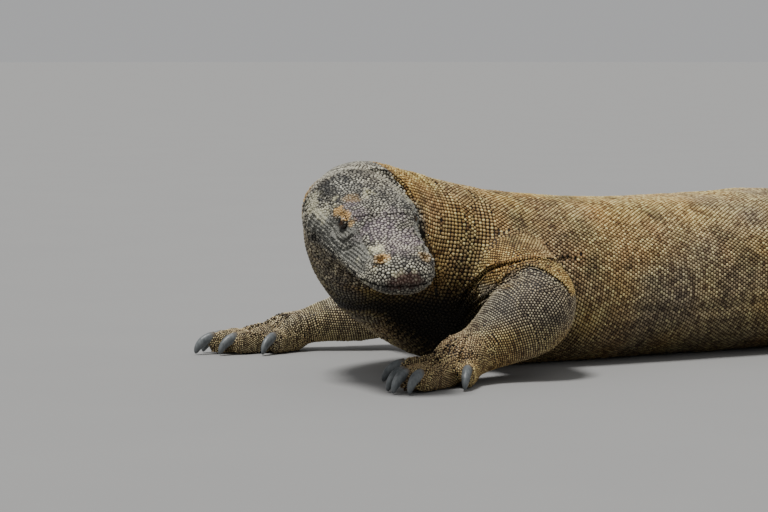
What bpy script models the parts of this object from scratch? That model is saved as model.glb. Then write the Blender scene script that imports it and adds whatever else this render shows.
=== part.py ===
"""A Komodo dragon, life size, lying on its belly with its head turned to its own left.

Metres, +Z up, floor at z = 0. The trunk lies along X with the head towards -X, so the animal's
left side faces -Y. The flesh is modelled whole, as lofted volumes that a voxel remesh joins,
and is then parted into named nodes by thin cuts. Eyes and claws are pieces of their own, each
set into a socket.
"""

import math

import bmesh
import bpy
import numpy as np
from mathutils import Matrix, Vector

# ---------------------------------------------------------------- driving dimensions, metres
HEAD_LENGTH = 0.200  # snout tip to the back of the skull
HEAD_TIP = (-0.430, -0.331, 0.136)
HEAD_TURN = math.radians(85.5)  # from straight ahead (-X) towards the animal's left (-Y)
HEAD_DIP = math.radians(21.0)  # snout below level
HEAD_TILT = math.radians(2.0)  # about the snout's own line

EYE_RADIUS = 0.0084
EYE_PLACE = (0.565, 0.201, 0.124)  # back from the tip, out to the side, up; in head lengths

GAP = 0.0003  # between two pieces that touch
VOXEL = 0.0042  # of the remesh that joins the volumes
FLESH_TRIANGLES = 4240
THINNING = 0.80  # how readily edges of the trunk collapse, from 0 to 1
FLAT_ANGLE = math.radians(1.5)  # faces that turn by less than this are made one
HEAD_THINNING = 0.10  # and those of the head and feet

# ------------------------------------------------------------------------------- head form
# Down the head, in head lengths: back from the tip, half width, height of the roof over the
# head's line, depth of the jaw under it, squareness of the section.
HEAD_STATIONS = (
    (0.000, 0.060, 0.018, 0.060, 2.2),
    (0.020, 0.128, 0.062, 0.100, 2.3),
    (0.060, 0.176, 0.092, 0.118, 2.5),
    (0.120, 0.208, 0.110, 0.128, 2.6),
    (0.200, 0.222, 0.124, 0.142, 2.6),
    (0.320, 0.230, 0.146, 0.160, 2.6),
    (0.440, 0.245, 0.178, 0.178, 2.5),
    (0.560, 0.268, 0.208, 0.196, 2.4),
    (0.700, 0.306, 0.226, 0.222, 2.3),
    (0.840, 0.328, 0.238, 0.255, 2.2),
    (0.960, 0.318, 0.242, 0.285, 2.1),
    (1.080, 0.290, 0.232, 0.310, 2.0),
    (1.180, 0.240, 0.190, 0.260, 2.0),
)

# Swellings and hollows of the head, in head lengths: back, out, up, the reach along each of
# those, and how far the surface moves out. Each is made on both sides.
HEAD_RELIEF = (
    ("brow", 0.520, 0.200, 0.215, 0.120, 0.070, 0.060, 0.030),
    ("brow knob", 0.560, 0.185, 0.205, 0.065, 0.060, 0.055, 0.034),
    ("eye hollow", 0.565, 0.260, 0.105, 0.065, 0.090, 0.042, -0.034),
    ("nostril mound", 0.115, 0.150, 0.100, 0.060, 0.060, 0.050, 0.016),
    ("snout edge", 0.300, 0.175, 0.125, 0.170, 0.045, 0.045, 0.012),
    ("snout bridge", 0.330, 0.000, 0.160, 0.120, 0.110, 0.060, -0.010),
    ("before the eye", 0.370, 0.240, 0.050, 0.110, 0.060, 0.045, -0.014),
    ("cheek", 0.800, 0.330, 0.020, 0.120, 0.100, 0.110, 0.026),
    ("temple", 0.720, 0.170, 0.230, 0.110, 0.075, 0.060, 0.012),
    ("lip", 0.300, 0.240, -0.050, 0.200, 0.080, 0.040, 0.014),
)

# ---------------------------------------------------------------------------- body and tail
# From inside the head to the tip of the tail: place of the axis, then half width, height over
# the axis, depth under it, and squareness of the section.
BODY_STATIONS = (
    (-0.4190, -0.1830, 0.2090, 0.044, 0.036, 0.044, 2.0),
    (-0.4130, -0.1430, 0.2010, 0.058, 0.057, 0.068, 2.0),
    (-0.3840, -0.1030, 0.1880, 0.071, 0.078, 0.092, 2.1),
    (-0.3350, -0.0680, 0.1680, 0.081, 0.084, 0.112, 2.1),
    (-0.2680, -0.0440, 0.1480, 0.092, 0.090, 0.128, 2.2),
    (-0.1970, -0.0310, 0.1300, 0.106, 0.093, 0.132, 2.2),
    (-0.1100, -0.0180, 0.1160, 0.121, 0.097, 0.122, 2.2),
    (0.0000, 0.0000, 0.1080, 0.131, 0.098, 0.113, 2.3),
    (0.1200, 0.0170, 0.1060, 0.138, 0.100, 0.111, 2.3),
    (0.2300, 0.0270, 0.1050, 0.136, 0.104, 0.110, 2.3),
    (0.3200, 0.0300, 0.1020, 0.121, 0.103, 0.106, 2.2),
    (0.4100, 0.0270, 0.0960, 0.098, 0.093, 0.100, 2.1),
    (0.4900, 0.0200, 0.0860, 0.074, 0.077, 0.090, 2.0),
    (0.5700, 0.0070, 0.0740, 0.057, 0.063, 0.078, 2.0),
    (0.6900, -0.0180, 0.0600, 0.0440, 0.0510, 0.0640, 2.0),
    (0.8400, -0.0580, 0.0480, 0.0335, 0.0415, 0.0520, 2.0),
    (1.0100, -0.1130, 0.0380, 0.0253, 0.0333, 0.0415, 2.0),
    (1.1900, -0.1680, 0.0290, 0.0186, 0.0257, 0.0320, 2.0),
    (1.3700, -0.2030, 0.0210, 0.0131, 0.0187, 0.0236, 2.0),
    (1.5400, -0.2080, 0.0150, 0.0090, 0.0125, 0.0173, 2.0),
    (1.6800, -0.1830, 0.0095, 0.0052, 0.0075, 0.0114, 2.0),
)

# ------------------------------------------------------------------------------------- legs
# Joints of each leg: inside the trunk, shoulder or hip, elbow or knee, wrist or ankle. Then
# the radii of the cuts at the last three, and the five digits: the heading of each, in degrees
# from -X towards the leg's own side, and its reach from the wrist to the tip of the claw.
LEGS = {
    "front_left": {
        "joints": ((-0.188, -0.048, 0.125), (-0.188, -0.113, 0.115), (-0.196, -0.206, 0.090),
                   (-0.284, -0.214, 0.043)),
        "radii": (0.062, 0.058, 0.048, 0.0290),
        "cuts": (0.074, 0.080, 0.060),
        "digits": ((-21.1, 0.111), (19, 0.147), (26.6, 0.160), (33.8, 0.156), (55.5, 0.095)),
    },
    "front_right": {
        "joints": ((-0.190, 0.012, 0.115), (-0.200, 0.057, 0.105), (-0.210, 0.170, 0.068),
                   (-0.325, 0.207, 0.034)),
        "radii": (0.060, 0.056, 0.040, 0.0235),
        "cuts": (0.072, 0.068, 0.052),
        "digits": ((-30, 0.092), (-9, 0.131), (1, 0.154), (9, 0.138), (26, 0.102)),
    },
    "back_left": {
        "joints": ((0.425, 0.008, 0.095), (0.405, -0.060, 0.088), (0.318, -0.178, 0.090),
                   (0.430, -0.232, 0.038)),
        "radii": (0.072, 0.068, 0.047, 0.0250),
        "cuts": (0.096, 0.098, 0.082),
        "digits": ((40, 0.095), (54, 0.122), (65, 0.145), (78, 0.165), (112, 0.098)),
    },
    "back_right": {
        "joints": ((0.425, 0.048, 0.095), (0.410, 0.112, 0.088), (0.336, 0.234, 0.090),
                   (0.456, 0.278, 0.038)),
        "radii": (0.072, 0.068, 0.047, 0.0250),
        "cuts": (0.096, 0.098, 0.082),
        "digits": ((34, 0.095), (49, 0.122), (60, 0.145), (72, 0.165), (106, 0.098)),
    },
}
LEG_SAG = {"front": 0.28, "back": 0.0}  # how far the lower limb hangs under its axis, in radii
CLAW_LENGTH = 0.037  # along its curve
CLAW_BED = 0.006  # of that inside the digit
CLAW_HALF = (0.0060, 0.0072)  # half width and half depth at the root
CLAW_ROOT = 0.0225  # height of its axis at the root
CLAW_TIP = 0.0018  # and at the tip
CLAW_TURN = (math.radians(4), math.radians(80))  # its slope below level at root and tip

# Each cut across the body: place, the way the cut faces, its half width and half height.
BODY_CUTS = (
    ((-0.4080, -0.1400, 0.178), (0.36, 0.90, 0.24), 0.092, 0.112),  # nape
    ((-0.2750, -0.0450, 0.135), (1.00, 0.25, -0.10), 0.125, 0.150),  # root of the neck
    ((0.0600, 0.0090, 0.105), (1.00, 0.12, 0.00), 0.160, 0.130),  # waist
    ((0.5000, 0.0190, 0.085), (1.00, -0.12, -0.10), 0.095, 0.110),  # vent
    ((0.8400, -0.0580, 0.045), (1.00, -0.30, -0.07), 0.060, 0.070),  # tail, first length
    ((1.1900, -0.1680, 0.028), (1.00, -0.27, -0.05), 0.045, 0.050),  # tail, second length
)
MOUTH = (  # the mouth's line, then the way round the back of the jaw; back and up, head lengths
    (-0.050, -0.030), (0.060, -0.040), (0.200, -0.055), (0.380, -0.072), (0.560, -0.074),
    (0.680, -0.054), (0.740, -0.044), (0.785, -0.090), (0.802, -0.220), (0.805, -0.580),
)

LIMB_NAMES = {
    "front": ("upper_arm", "forearm", "hand"),
    "back": ("thigh", "shin", "foot"),
}
FINISH_OF = {"head": "head", "lower": "head", "neck": "neck", "trunk": "trunk", "tail": "tail"}
COLOURS = {  # base colour, roughness
    "head": ((0.085, 0.080, 0.078), 0.60),
    "neck": ((0.200, 0.120, 0.055), 0.65),
    "trunk": ((0.150, 0.110, 0.065), 0.65),
    "tail": ((0.115, 0.095, 0.065), 0.65),
    "leg": ((0.140, 0.115, 0.080), 0.65),
    "eye": ((0.030, 0.018, 0.010), 0.08),
    "claw": ((0.075, 0.085, 0.085), 0.35),
}


# ------------------------------------------------------------------------------ small tools
def clear_scene():
    for obj in list(bpy.data.objects):
        bpy.data.objects.remove(obj)


def smooth_rows(rows, count):
    """A Catmull-Rom curve through the rows, read at even steps of its length."""
    rows = np.array(rows, float)
    held = np.vstack([2 * rows[0] - rows[1], rows, 2 * rows[-1] - rows[-2]])
    t = np.linspace(0, 1, 24, endpoint=False)[:, None]
    fine = []
    for a, b, c, d in zip(held, held[1:], held[2:], held[3:]):
        fine.append(b + 0.5 * ((c - a) * t + (2 * a - 5 * b + 4 * c - d) * t**2
                               + (3 * b - a - 3 * c + d) * t**3))
    fine = np.vstack([*fine, rows[-1:]])
    steps = np.linalg.norm(np.diff(fine[:, :3], axis=0), axis=1)
    length = np.concatenate([[0], np.cumsum(steps)])
    even = np.linspace(0, length[-1], count)
    return np.stack([np.interp(even, length, column) for column in fine.T], 1)


def section(around, squareness):
    """Points of a unit superellipse, first outwards and then up."""
    angle = np.linspace(0, 2 * np.pi, around, endpoint=False)
    out, up = np.cos(angle), np.sin(angle)
    power = 2 / squareness
    return np.sign(out) * abs(out) ** power, np.sign(up) * abs(up) ** power


def rings_of(rows, around):
    """A ring of points for each row of (place, half width, height, depth, squareness)."""
    places = rows[:, :3]
    ahead = np.gradient(places, axis=0)
    ahead /= np.linalg.norm(ahead, axis=1)[:, None]
    side = np.cross(ahead, (0, 0, 1))
    side /= np.linalg.norm(side, axis=1)[:, None]
    up = np.cross(side, ahead)
    rings = []
    for place, s, u, (wide, high, deep, square) in zip(places, side, up, rows[:, 3:]):
        x, z = section(around, square)
        rings.append(place + np.outer(x * wide, s) + np.outer(np.where(z > 0, high, deep) * z, u))
    return np.array(rings)


def loft(name, rings):
    """A closed mesh through the rings, each end closed by a fan, with its faces turned out."""
    count, around = rings.shape[:2]
    points = np.vstack([rings.reshape(-1, 3), rings[0].mean(0), rings[-1].mean(0)])
    faces = []
    for j in range(around):
        k = (j + 1) % around
        for i in range(count - 1):
            a, b = i * around, (i + 1) * around
            faces.append((a + j, a + k, b + k, b + j))
        faces.append((j, count * around, k))
        faces.append(((count - 1) * around + k, count * around + 1, (count - 1) * around + j))
    mesh = bpy.data.meshes.new(name)
    mesh.from_pydata(points.tolist(), [], faces)
    shape = bmesh.new()
    shape.from_mesh(mesh)
    bmesh.ops.recalc_face_normals(shape, faces=shape.faces)
    shape.to_mesh(mesh)
    shape.free()
    return add(name, mesh)


def add(name, mesh):
    obj = bpy.data.objects.new(name, mesh)
    bpy.context.scene.collection.objects.link(obj)
    return obj


def joined(name, objects):
    """One object that holds the meshes of all of them."""
    shape = bmesh.new()
    for obj in objects:
        shape.from_mesh(obj.data)
        bpy.data.objects.remove(obj)
    mesh = bpy.data.meshes.new(name)
    shape.to_mesh(mesh)
    shape.free()
    return add(name, mesh)


def evaluated_copy(name, obj):
    """The object as its modifiers leave it, as a plain mesh that takes its place."""
    graph = bpy.context.evaluated_depsgraph_get()
    mesh = bpy.data.meshes.new_from_object(obj.evaluated_get(graph))
    bpy.data.objects.remove(obj)
    return add(name, mesh)


def coordinates(mesh):
    points = np.empty(len(mesh.vertices) * 3, np.float32)
    mesh.vertices.foreach_get("co", points)
    return points.reshape(-1, 3)


# ------------------------------------------------------------------------------------- head
def head_axes():
    """Unit vectors of the head: ahead, to the animal's left, and up."""
    level = Vector((-math.cos(HEAD_TURN), -math.sin(HEAD_TURN), 0))
    left = Vector((0, 0, 1)).cross(level)
    ahead = level * math.cos(HEAD_DIP) - Vector((0, 0, math.sin(HEAD_DIP)))
    up = Vector((0, 0, math.cos(HEAD_DIP))) + level * math.sin(HEAD_DIP)
    tilt_left = left * math.cos(HEAD_TILT) + up * math.sin(HEAD_TILT)
    return ahead, tilt_left, up * math.cos(HEAD_TILT) - left * math.sin(HEAD_TILT)


def head_to_world(points):
    """Points given as back, left and up in head lengths, placed in the world."""
    ahead, left, up = (np.array(axis) for axis in head_axes())
    back, out, high = np.asarray(points, float).T * HEAD_LENGTH
    return (np.array(HEAD_TIP) - back[..., None] * ahead + out[..., None] * left
            + high[..., None] * up)


def relieved(points):
    """Moves head points out from the head's line by the swellings and hollows near them."""
    back, out, up = points[..., 0], points[..., 1], points[..., 2]
    outward = np.stack([np.zeros_like(out), out, up], -1)
    outward /= np.linalg.norm(outward, axis=-1, keepdims=True) + 1e-9
    move = np.zeros_like(back)
    for _, b, o, u, reach_b, reach_o, reach_u, amount in HEAD_RELIEF:
        far = ((back - b) / reach_b) ** 2 + ((abs(out) - o) / reach_o) ** 2
        move += amount * np.exp(-far - ((up - u) / reach_u) ** 2)
    return points + outward * move[..., None]


def head_volume():
    stations = [(back, 0, 0, wide, high, deep, square)
                for back, wide, high, deep, square in HEAD_STATIONS]
    rings = []
    for back, _, _, wide, high, deep, square in smooth_rows(stations, 46):
        x, z = section(44, square)
        rings.append(np.stack([np.full_like(x, back), x * wide, np.where(z > 0, high, deep) * z], 1))
    points = relieved(np.array(rings))
    return loft("head_volume", head_to_world(points.reshape(-1, 3)).reshape(points.shape))


def eye(name, side, grow=0.0):
    back, out, up = EYE_PLACE
    centre = head_to_world([(back, side * out, up)])[0]
    shape = bmesh.new()
    bmesh.ops.create_uvsphere(shape, u_segments=14, v_segments=9, radius=EYE_RADIUS + grow)
    bmesh.ops.translate(shape, verts=shape.verts, vec=centre)
    mesh = bpy.data.meshes.new(name)
    shape.to_mesh(mesh)
    shape.free()
    return add(name, mesh)


def jaw_cut():
    """A thin sheet along the mouth and down behind the jaw, as wide as the head."""
    rows = smooth_rows([(b, 0, u) for b, u in MOUTH], 15)
    slope = np.gradient(rows, axis=0)
    normal = np.stack([-slope[:, 2], 0 * rows[:, 1], slope[:, 0]], 1)
    normal *= 0.5 * GAP / HEAD_LENGTH / np.linalg.norm(normal, axis=1)[:, None]
    across = np.array((0, 0.40, 0))
    corners = [rows + normal + across, rows + normal - across,
               rows - normal - across, rows - normal + across]
    rings = np.stack(corners, 1)
    return loft("jaw_cut", head_to_world(rings.reshape(-1, 3)).reshape(rings.shape))


# ------------------------------------------------------------------------------------- legs
def heading(name, degrees):
    """A level unit vector, turned from -X towards the leg's own side."""
    side = -1 if name.endswith("left") else 1
    angle = math.radians(degrees)
    return np.array((-math.cos(angle), side * math.sin(angle), 0))


def leg_volume(name, leg):
    """The limb from inside the trunk to the knuckles, as one tube."""
    root, upper, middle, wrist = (np.array(joint) for joint in leg["joints"])
    r_root, r_upper, r_middle, r_wrist = leg["radii"]
    palm = wrist + 0.052 * heading(name, leg["digits"][2][0])
    sag = LEG_SAG[name.split("_")[0]]
    rows = [
        (*root, r_root, r_root, r_root, 2),
        (*upper, r_upper, r_upper * 1.05, r_upper, 2),
        (*(0.45 * upper + 0.55 * middle), r_middle * 1.12, r_middle * 1.15, r_middle * 1.1, 2),
        (*middle, r_middle * 0.98, r_middle, r_middle * (1 + 0.5 * sag), 2),
        (*(0.62 * middle + 0.38 * wrist), r_middle * 0.87, r_middle * 0.88, r_middle * (0.84 + sag), 2),
        (*(0.25 * middle + 0.75 * wrist), r_wrist * 1.14, r_wrist * 1.05, r_wrist * (1.15 + sag), 2),
        (*wrist, r_wrist * 1.08, r_wrist * 0.85, r_wrist * 1.15, 2.1),
        (*(0.5 * (wrist + palm) - (0, 0, 0.006)), 0.030, 0.023, 0.033, 2.3),
        (*(palm - (0, 0, 0.013)), 0.026, 0.017, 0.025, 2.3),
    ]
    return loft(name + "_volume", rings_of(smooth_rows(rows, 44), 24))


def digit_frame(name, leg, digit):
    """Wrist on the floor, the digit's heading, and how far out its claw springs."""
    degrees, reach = leg["digits"][digit]
    wrist = np.array(leg["joints"][3]) * (1, 1, 0)
    bend = CLAW_LENGTH / (CLAW_TURN[1] - CLAW_TURN[0])
    run = bend * (math.sin(CLAW_TURN[1]) - math.sin(CLAW_TURN[0]))
    return wrist, heading(name, degrees), reach - run + CLAW_BED


def digit_volume(name, leg, digit):
    wrist, ahead, end = digit_frame(name, leg, digit)
    up = np.array((0, 0, 1))
    rows = [
        (*(wrist + 0.22 * end * ahead + 0.0270 * up), 0.0110, 0.0130, 0.0250, 2),
        (*(wrist + 0.50 * end * ahead + 0.0230 * up), 0.0115, 0.0145, 0.0245, 2.1),
        (*(wrist + 0.68 * end * ahead + 0.0200 * up), 0.0102, 0.0120, 0.0210, 2.1),
        (*(wrist + 0.85 * end * ahead + 0.0195 * up), 0.0108, 0.0122, 0.0205, 2.1),
        (*(wrist + 1.00 * end * ahead + 0.0180 * up), 0.0080, 0.0090, 0.0165, 2.0),
        (*(wrist + (end + 0.004) * ahead + 0.0170 * up), 0.0050, 0.0060, 0.0120, 2.0),
    ]
    return loft(f"{name}_digit_{digit}", rings_of(smooth_rows(rows, 18), 14))


def claw(name, leg, digit, title, grow=0.0):
    """A horn that leaves the digit almost level and curves down to the floor."""
    wrist, ahead, end = digit_frame(name, leg, digit)
    along = np.linspace(0, 1, 5)
    turn = CLAW_TURN[0] + (CLAW_TURN[1] - CLAW_TURN[0]) * along
    bend = CLAW_LENGTH / (CLAW_TURN[1] - CLAW_TURN[0])
    out = end - CLAW_BED + bend * (np.sin(turn) - math.sin(CLAW_TURN[0]))
    fall = (math.cos(CLAW_TURN[0]) - np.cos(turn)) / (math.cos(CLAW_TURN[0]) - math.cos(CLAW_TURN[1]))
    high = CLAW_ROOT - (CLAW_ROOT - CLAW_TIP) * fall
    thin = np.sqrt(1 - 0.985 * along**2.1)
    side = np.cross(ahead, (0, 0, 1))
    angle = np.linspace(0, 2 * np.pi, 6, endpoint=False)
    rings = []
    for o, h, t, size in zip(out, high, turn, thin):
        centre = wrist + o * ahead + np.array((0, 0, h))
        normal = math.sin(t) * ahead + np.array((0, 0, math.cos(t)))
        wide, deep = CLAW_HALF[0] * size + grow, CLAW_HALF[1] * size + grow
        rings.append(centre + np.outer(np.cos(angle) * wide, side)
                     + np.outer(np.sin(angle) * deep, normal))
    rings = np.array(rings)
    rings[0] -= grow * ahead
    return loft(title, rings)


# ------------------------------------------------------------------------------------- main
def whole_flesh():
    """All the flesh as one closed skin, with the floor not yet cut."""
    volumes = [loft("body_volume", rings_of(smooth_rows(BODY_STATIONS, 150), 44)), head_volume()]
    for name, leg in LEGS.items():
        volumes.append(leg_volume(name, leg))
        volumes += [digit_volume(name, leg, digit) for digit in range(5)]
    flesh = joined("flesh", volumes)
    remesh = flesh.modifiers.new("join", "REMESH")
    remesh.mode = "VOXEL"
    remesh.voxel_size = VOXEL
    smooth = flesh.modifiers.new("soften", "SMOOTH")
    smooth.factor = 0.5
    smooth.iterations = 4
    flesh = evaluated_copy("flesh", flesh)
    return fewer_triangles(flesh)


def fewer_triangles(flesh):
    """Collapses edges, least on the head and feet."""
    points = coordinates(flesh.data)
    centre = head_to_world([(0.45, 0, 0)])[0]
    keep = np.exp(-(np.linalg.norm(points - centre, axis=1) / 0.11) ** 4)
    for name, leg in LEGS.items():
        wrist, ahead, end = digit_frame(name, leg, 2)
        middle = wrist + 0.6 * end * ahead
        near = np.linalg.norm(points - middle, axis=1) / 0.080
        keep = np.maximum(keep, 0.85 * np.exp(-near**4))
    group = flesh.vertex_groups.new(name="collapse")
    for level in range(11):
        chosen = np.flatnonzero(np.round(10 * keep) == level)
        group.add(chosen.tolist(), THINNING - (THINNING - HEAD_THINNING) * level / 10, "REPLACE")
    fewer = flesh.modifiers.new("fewer", "DECIMATE")
    fewer.vertex_group = "collapse"
    fewer.vertex_group_factor = 1.0
    fewer.ratio = FLESH_TRIANGLES / (2 * len(flesh.data.polygons))
    return evaluated_copy("flesh", flesh)


def plate(place, facing, wide, high):
    """A thin oval plate that parts what it passes through."""
    shape = bmesh.new()
    bmesh.ops.create_cone(shape, cap_ends=True, segments=24, radius1=1, radius2=1, depth=1)
    bmesh.ops.scale(shape, verts=shape.verts, vec=(high, wide, GAP * 1.2))
    facing = Vector(facing).normalized()
    side = Vector((0, 0, 1)).cross(facing).normalized()
    turn = Matrix((facing.cross(side), side, facing)).transposed()
    bmesh.ops.rotate(shape, verts=shape.verts, cent=(0, 0, 0), matrix=turn)
    bmesh.ops.translate(shape, verts=shape.verts, vec=place)
    bmesh.ops.recalc_face_normals(shape, faces=shape.faces)
    mesh = bpy.data.meshes.new("plate")
    shape.to_mesh(mesh)
    shape.free()
    return add("plate", mesh)


def limb_plates(name, leg):
    """Plates at the limb's three joints: upright beside the trunk, then across each bend."""
    upper, middle, wrist = (np.array(joint) for joint in leg["joints"][1:])
    first = (middle - upper) / np.linalg.norm(middle - upper)
    second = (wrist - middle) / np.linalg.norm(wrist - middle)
    inner_digit = heading(name, leg["digits"][0][0])
    shoulder, elbow, hand = leg["cuts"]
    return [plate(0.55 * upper + 0.45 * middle, (0, 1, 0), shoulder, shoulder),
            plate(middle, first + second, elbow, elbow),
            plate(0.12 * middle + 0.88 * wrist, second + inner_digit - (0, 0, 0.3), hand, hand)]


def floor_block():
    shape = bmesh.new()
    bmesh.ops.create_cube(shape, size=1.0)
    bmesh.ops.scale(shape, verts=shape.verts, vec=(4.0, 2.0, 0.1))
    bmesh.ops.translate(shape, verts=shape.verts, vec=(0.5, 0.0, -0.05))
    mesh = bpy.data.meshes.new("floor")
    shape.to_mesh(mesh)
    shape.free()
    return add("floor_block", mesh)


def sockets():
    """The room that the eyes and claws take in the flesh, with the gap round each."""
    rooms = [eye("room", side, GAP) for side in (-1, 1)]
    for name, leg in LEGS.items():
        rooms += [claw(name, leg, digit, "room", GAP) for digit in range(5)]
    return joined("sockets", rooms)


def parted(flesh):
    """The flesh after the floor, the thin cuts and the sockets are taken from it."""
    cutters = [floor_block(), jaw_cut(), sockets()] + [plate(*cut) for cut in BODY_CUTS]
    for name, leg in LEGS.items():
        cutters += limb_plates(name, leg)
    for cutter in cutters:
        cut = flesh.modifiers.new(cutter.name, "BOOLEAN")
        cut.operation = "DIFFERENCE"
        cut.solver = "EXACT"
        cut.object = cutter
    flesh = evaluated_copy("flesh", flesh)
    for cutter in cutters:
        bpy.data.objects.remove(cutter)
    return flesh


# ------------------------------------------------------------------------------ parts by name
def anchors():
    """A point inside each flesh part, by the part's name."""
    body = [np.array(row[:3]) for row in BODY_STATIONS]
    points = {
        "head": head_to_world([(0.45, 0, 0.05)])[0],
        "lower_jaw": head_to_world([(0.45, 0, -0.12)])[0],
        "neck": body[3],
        "trunk_front": body[6],
        "trunk_rear": body[9],
        "tail_base": body[14],
        "tail_middle": body[16],
        "tail_end": body[18],
    }
    for name, leg in LEGS.items():
        upper, middle, wrist = (np.array(joint) for joint in leg["joints"][1:])
        wrist_on_floor, ahead, end = digit_frame(name, leg, 2)
        place, side = name.split("_")
        first, second, third = LIMB_NAMES[place]
        points[f"{first}_{side}"] = 0.3 * upper + 0.7 * middle
        points[f"{second}_{side}"] = 0.5 * (middle + wrist)
        points[f"{third}_{side}"] = wrist_on_floor + 0.4 * end * ahead + (0, 0, 0.015)
    return points


def islands(mesh):
    """The mesh's separate closed bodies, each as a mesh of its own."""
    whole = bmesh.new()
    whole.from_mesh(mesh)
    waiting = set(whole.verts)
    found = []
    while waiting:
        front = [next(v for v in whole.verts if v in waiting)]
        waiting.remove(front[0])
        body = []
        while front:
            vertex = front.pop()
            body.append(vertex)
            for edge in vertex.link_edges:
                other = edge.other_vert(vertex)
                if other in waiting:
                    waiting.remove(other)
                    front.append(other)
        found.append(body)
    meshes = []
    for body in found:
        number = {vertex: i for i, vertex in enumerate(body)}
        faces = {face for vertex in body for face in vertex.link_faces}
        faces = sorted(faces, key=lambda face: face.index)
        part = bpy.data.meshes.new("flesh_part")
        part.from_pydata([vertex.co[:] for vertex in body], [],
                         [[number[vertex] for vertex in face.verts] for face in faces])
        dissolved(part)
        meshes.append(part)
    whole.free()
    return meshes


def dissolved(mesh):
    """Takes out the edges and points that lie in a flat face or along a straight edge."""
    shape = bmesh.new()
    shape.from_mesh(mesh)
    bmesh.ops.dissolve_limit(shape, angle_limit=FLAT_ANGLE, verts=shape.verts, edges=shape.edges)
    bmesh.ops.triangulate(shape, faces=shape.faces)
    shape.to_mesh(mesh)
    shape.free()


def name_parts(flesh):
    """One object for each body of the parted flesh, named by the anchor nearest to it."""
    points = anchors()
    parts = {}
    bodies = islands(flesh.data)
    for mesh in bodies:
        middle = coordinates(mesh).mean(0)
        name = min(points, key=lambda key: np.linalg.norm(points[key] - middle))
        parts[name] = add(name, mesh)
    bpy.data.objects.remove(flesh)
    if set(parts) != set(points) or len(parts) != len(bodies):
        raise ValueError("the cuts don't part the flesh into one body for each name")
    return parts


def finish(name, colour_name):
    obj = bpy.data.objects[name]
    colour, roughness = COLOURS[colour_name]
    material = bpy.data.materials.get(colour_name) or bpy.data.materials.new(colour_name)
    material.use_nodes = True
    shader = material.node_tree.nodes["Principled BSDF"]
    shader.inputs["Base Color"].default_value = (*colour, 1)
    shader.inputs["Roughness"].default_value = roughness
    obj.data.materials.append(material)
    obj.data.shade_smooth()
    obj.data.set_sharp_from_angle(angle=math.radians(50))


def main():
    clear_scene()
    for name in name_parts(parted(whole_flesh())):
        finish(name, FINISH_OF.get(name.split("_")[0], "leg"))
    for side, title in ((1, "eye_left"), (-1, "eye_right")):
        eye(title, side)
        finish(title, "eye")
    for name, leg in LEGS.items():
        for digit in range(5):
            title = f"claw_{name}_{digit + 1}"
            claw(name, leg, digit, title)
            finish(title, "claw")


main()
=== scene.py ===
# %% [markdown]
# # A Komodo dragon at rest, life size
# The plain solids of the animal come first, as a fixed frame. Everything below is worked out in
# that frame, in metres, with the floor at z = 0 and the head towards -X. The front of the animal
# is modelled closely. Its hind legs, tail and far side follow the usual build of the species.

# %% Load the solids
import math

import bmesh
import bpy
import numpy as np
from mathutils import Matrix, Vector
from mathutils.bvhtree import BVHTree
from mathutils.kdtree import KDTree


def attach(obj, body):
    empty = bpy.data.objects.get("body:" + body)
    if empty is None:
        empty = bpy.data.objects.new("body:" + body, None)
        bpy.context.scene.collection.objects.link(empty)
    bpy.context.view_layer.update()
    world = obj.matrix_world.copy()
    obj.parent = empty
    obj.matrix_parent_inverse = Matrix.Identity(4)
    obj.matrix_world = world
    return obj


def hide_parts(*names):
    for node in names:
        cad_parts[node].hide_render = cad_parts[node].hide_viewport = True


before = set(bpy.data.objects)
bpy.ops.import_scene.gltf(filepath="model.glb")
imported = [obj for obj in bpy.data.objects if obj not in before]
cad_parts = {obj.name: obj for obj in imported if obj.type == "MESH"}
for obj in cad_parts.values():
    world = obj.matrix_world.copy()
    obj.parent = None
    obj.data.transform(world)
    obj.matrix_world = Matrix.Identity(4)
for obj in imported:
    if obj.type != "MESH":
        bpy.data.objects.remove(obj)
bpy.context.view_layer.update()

dice = np.random.default_rng(20)

# %% [markdown]
# ## Camera, floor and light
# The model is looked at from low down and far off, through a long lens, as one would watch a
# wary animal. A long lens keeps the true proportions. The floor is plain and pale. One wide soft
# sun stands nearly overhead, and an even grey sky fills the shade.

# %% Camera
CAMERA_PLACE = (-1.8365, -3.283, 0.41)
CAMERA_TURN = math.radians(-25.0)  # round the animal, from looking along +Y
CAMERA_DIP = math.radians(4.29)

lens = bpy.data.cameras.new("camera")
lens.lens = 135
lens.sensor_width = 36
lens.clip_end = 60
camera = bpy.data.objects.new("camera", lens)
back = Vector((math.sin(CAMERA_TURN) * math.cos(CAMERA_DIP),
               -math.cos(CAMERA_TURN) * math.cos(CAMERA_DIP), math.sin(CAMERA_DIP)))
camera.location = CAMERA_PLACE
camera.rotation_mode = "QUATERNION"
camera.rotation_quaternion = (-back).to_track_quat("-Z", "Y")
bpy.context.scene.collection.objects.link(camera)
bpy.context.scene.camera = camera
print("camera looks along", [round(v, 3) for v in -back])


# %% Lights
def sun_light(name, towards, strength, width, colour):
    """Light that comes from the direction `towards`; a wide sun, in degrees, has soft shadows."""
    light = bpy.data.lights.new(name, "SUN")
    light.energy = strength
    light.angle = math.radians(width)
    light.color = colour
    obj = bpy.data.objects.new(name, light)
    obj.rotation_mode = "QUATERNION"
    obj.rotation_quaternion = Vector(towards).to_track_quat("Z", "Y")
    bpy.context.scene.collection.objects.link(obj)
    return obj


sun_light("sky_light", (-0.30, -0.12, 1.0), 3.5, 15, (1.0, 0.985, 0.96))
world = bpy.data.worlds.new("studio")
bpy.context.scene.world = world
world.use_nodes = True
world.node_tree.nodes["Background"].inputs["Color"].default_value = (0.985, 0.99, 1.0, 1)
world.node_tree.nodes["Background"].inputs["Strength"].default_value = 0.44

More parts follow.
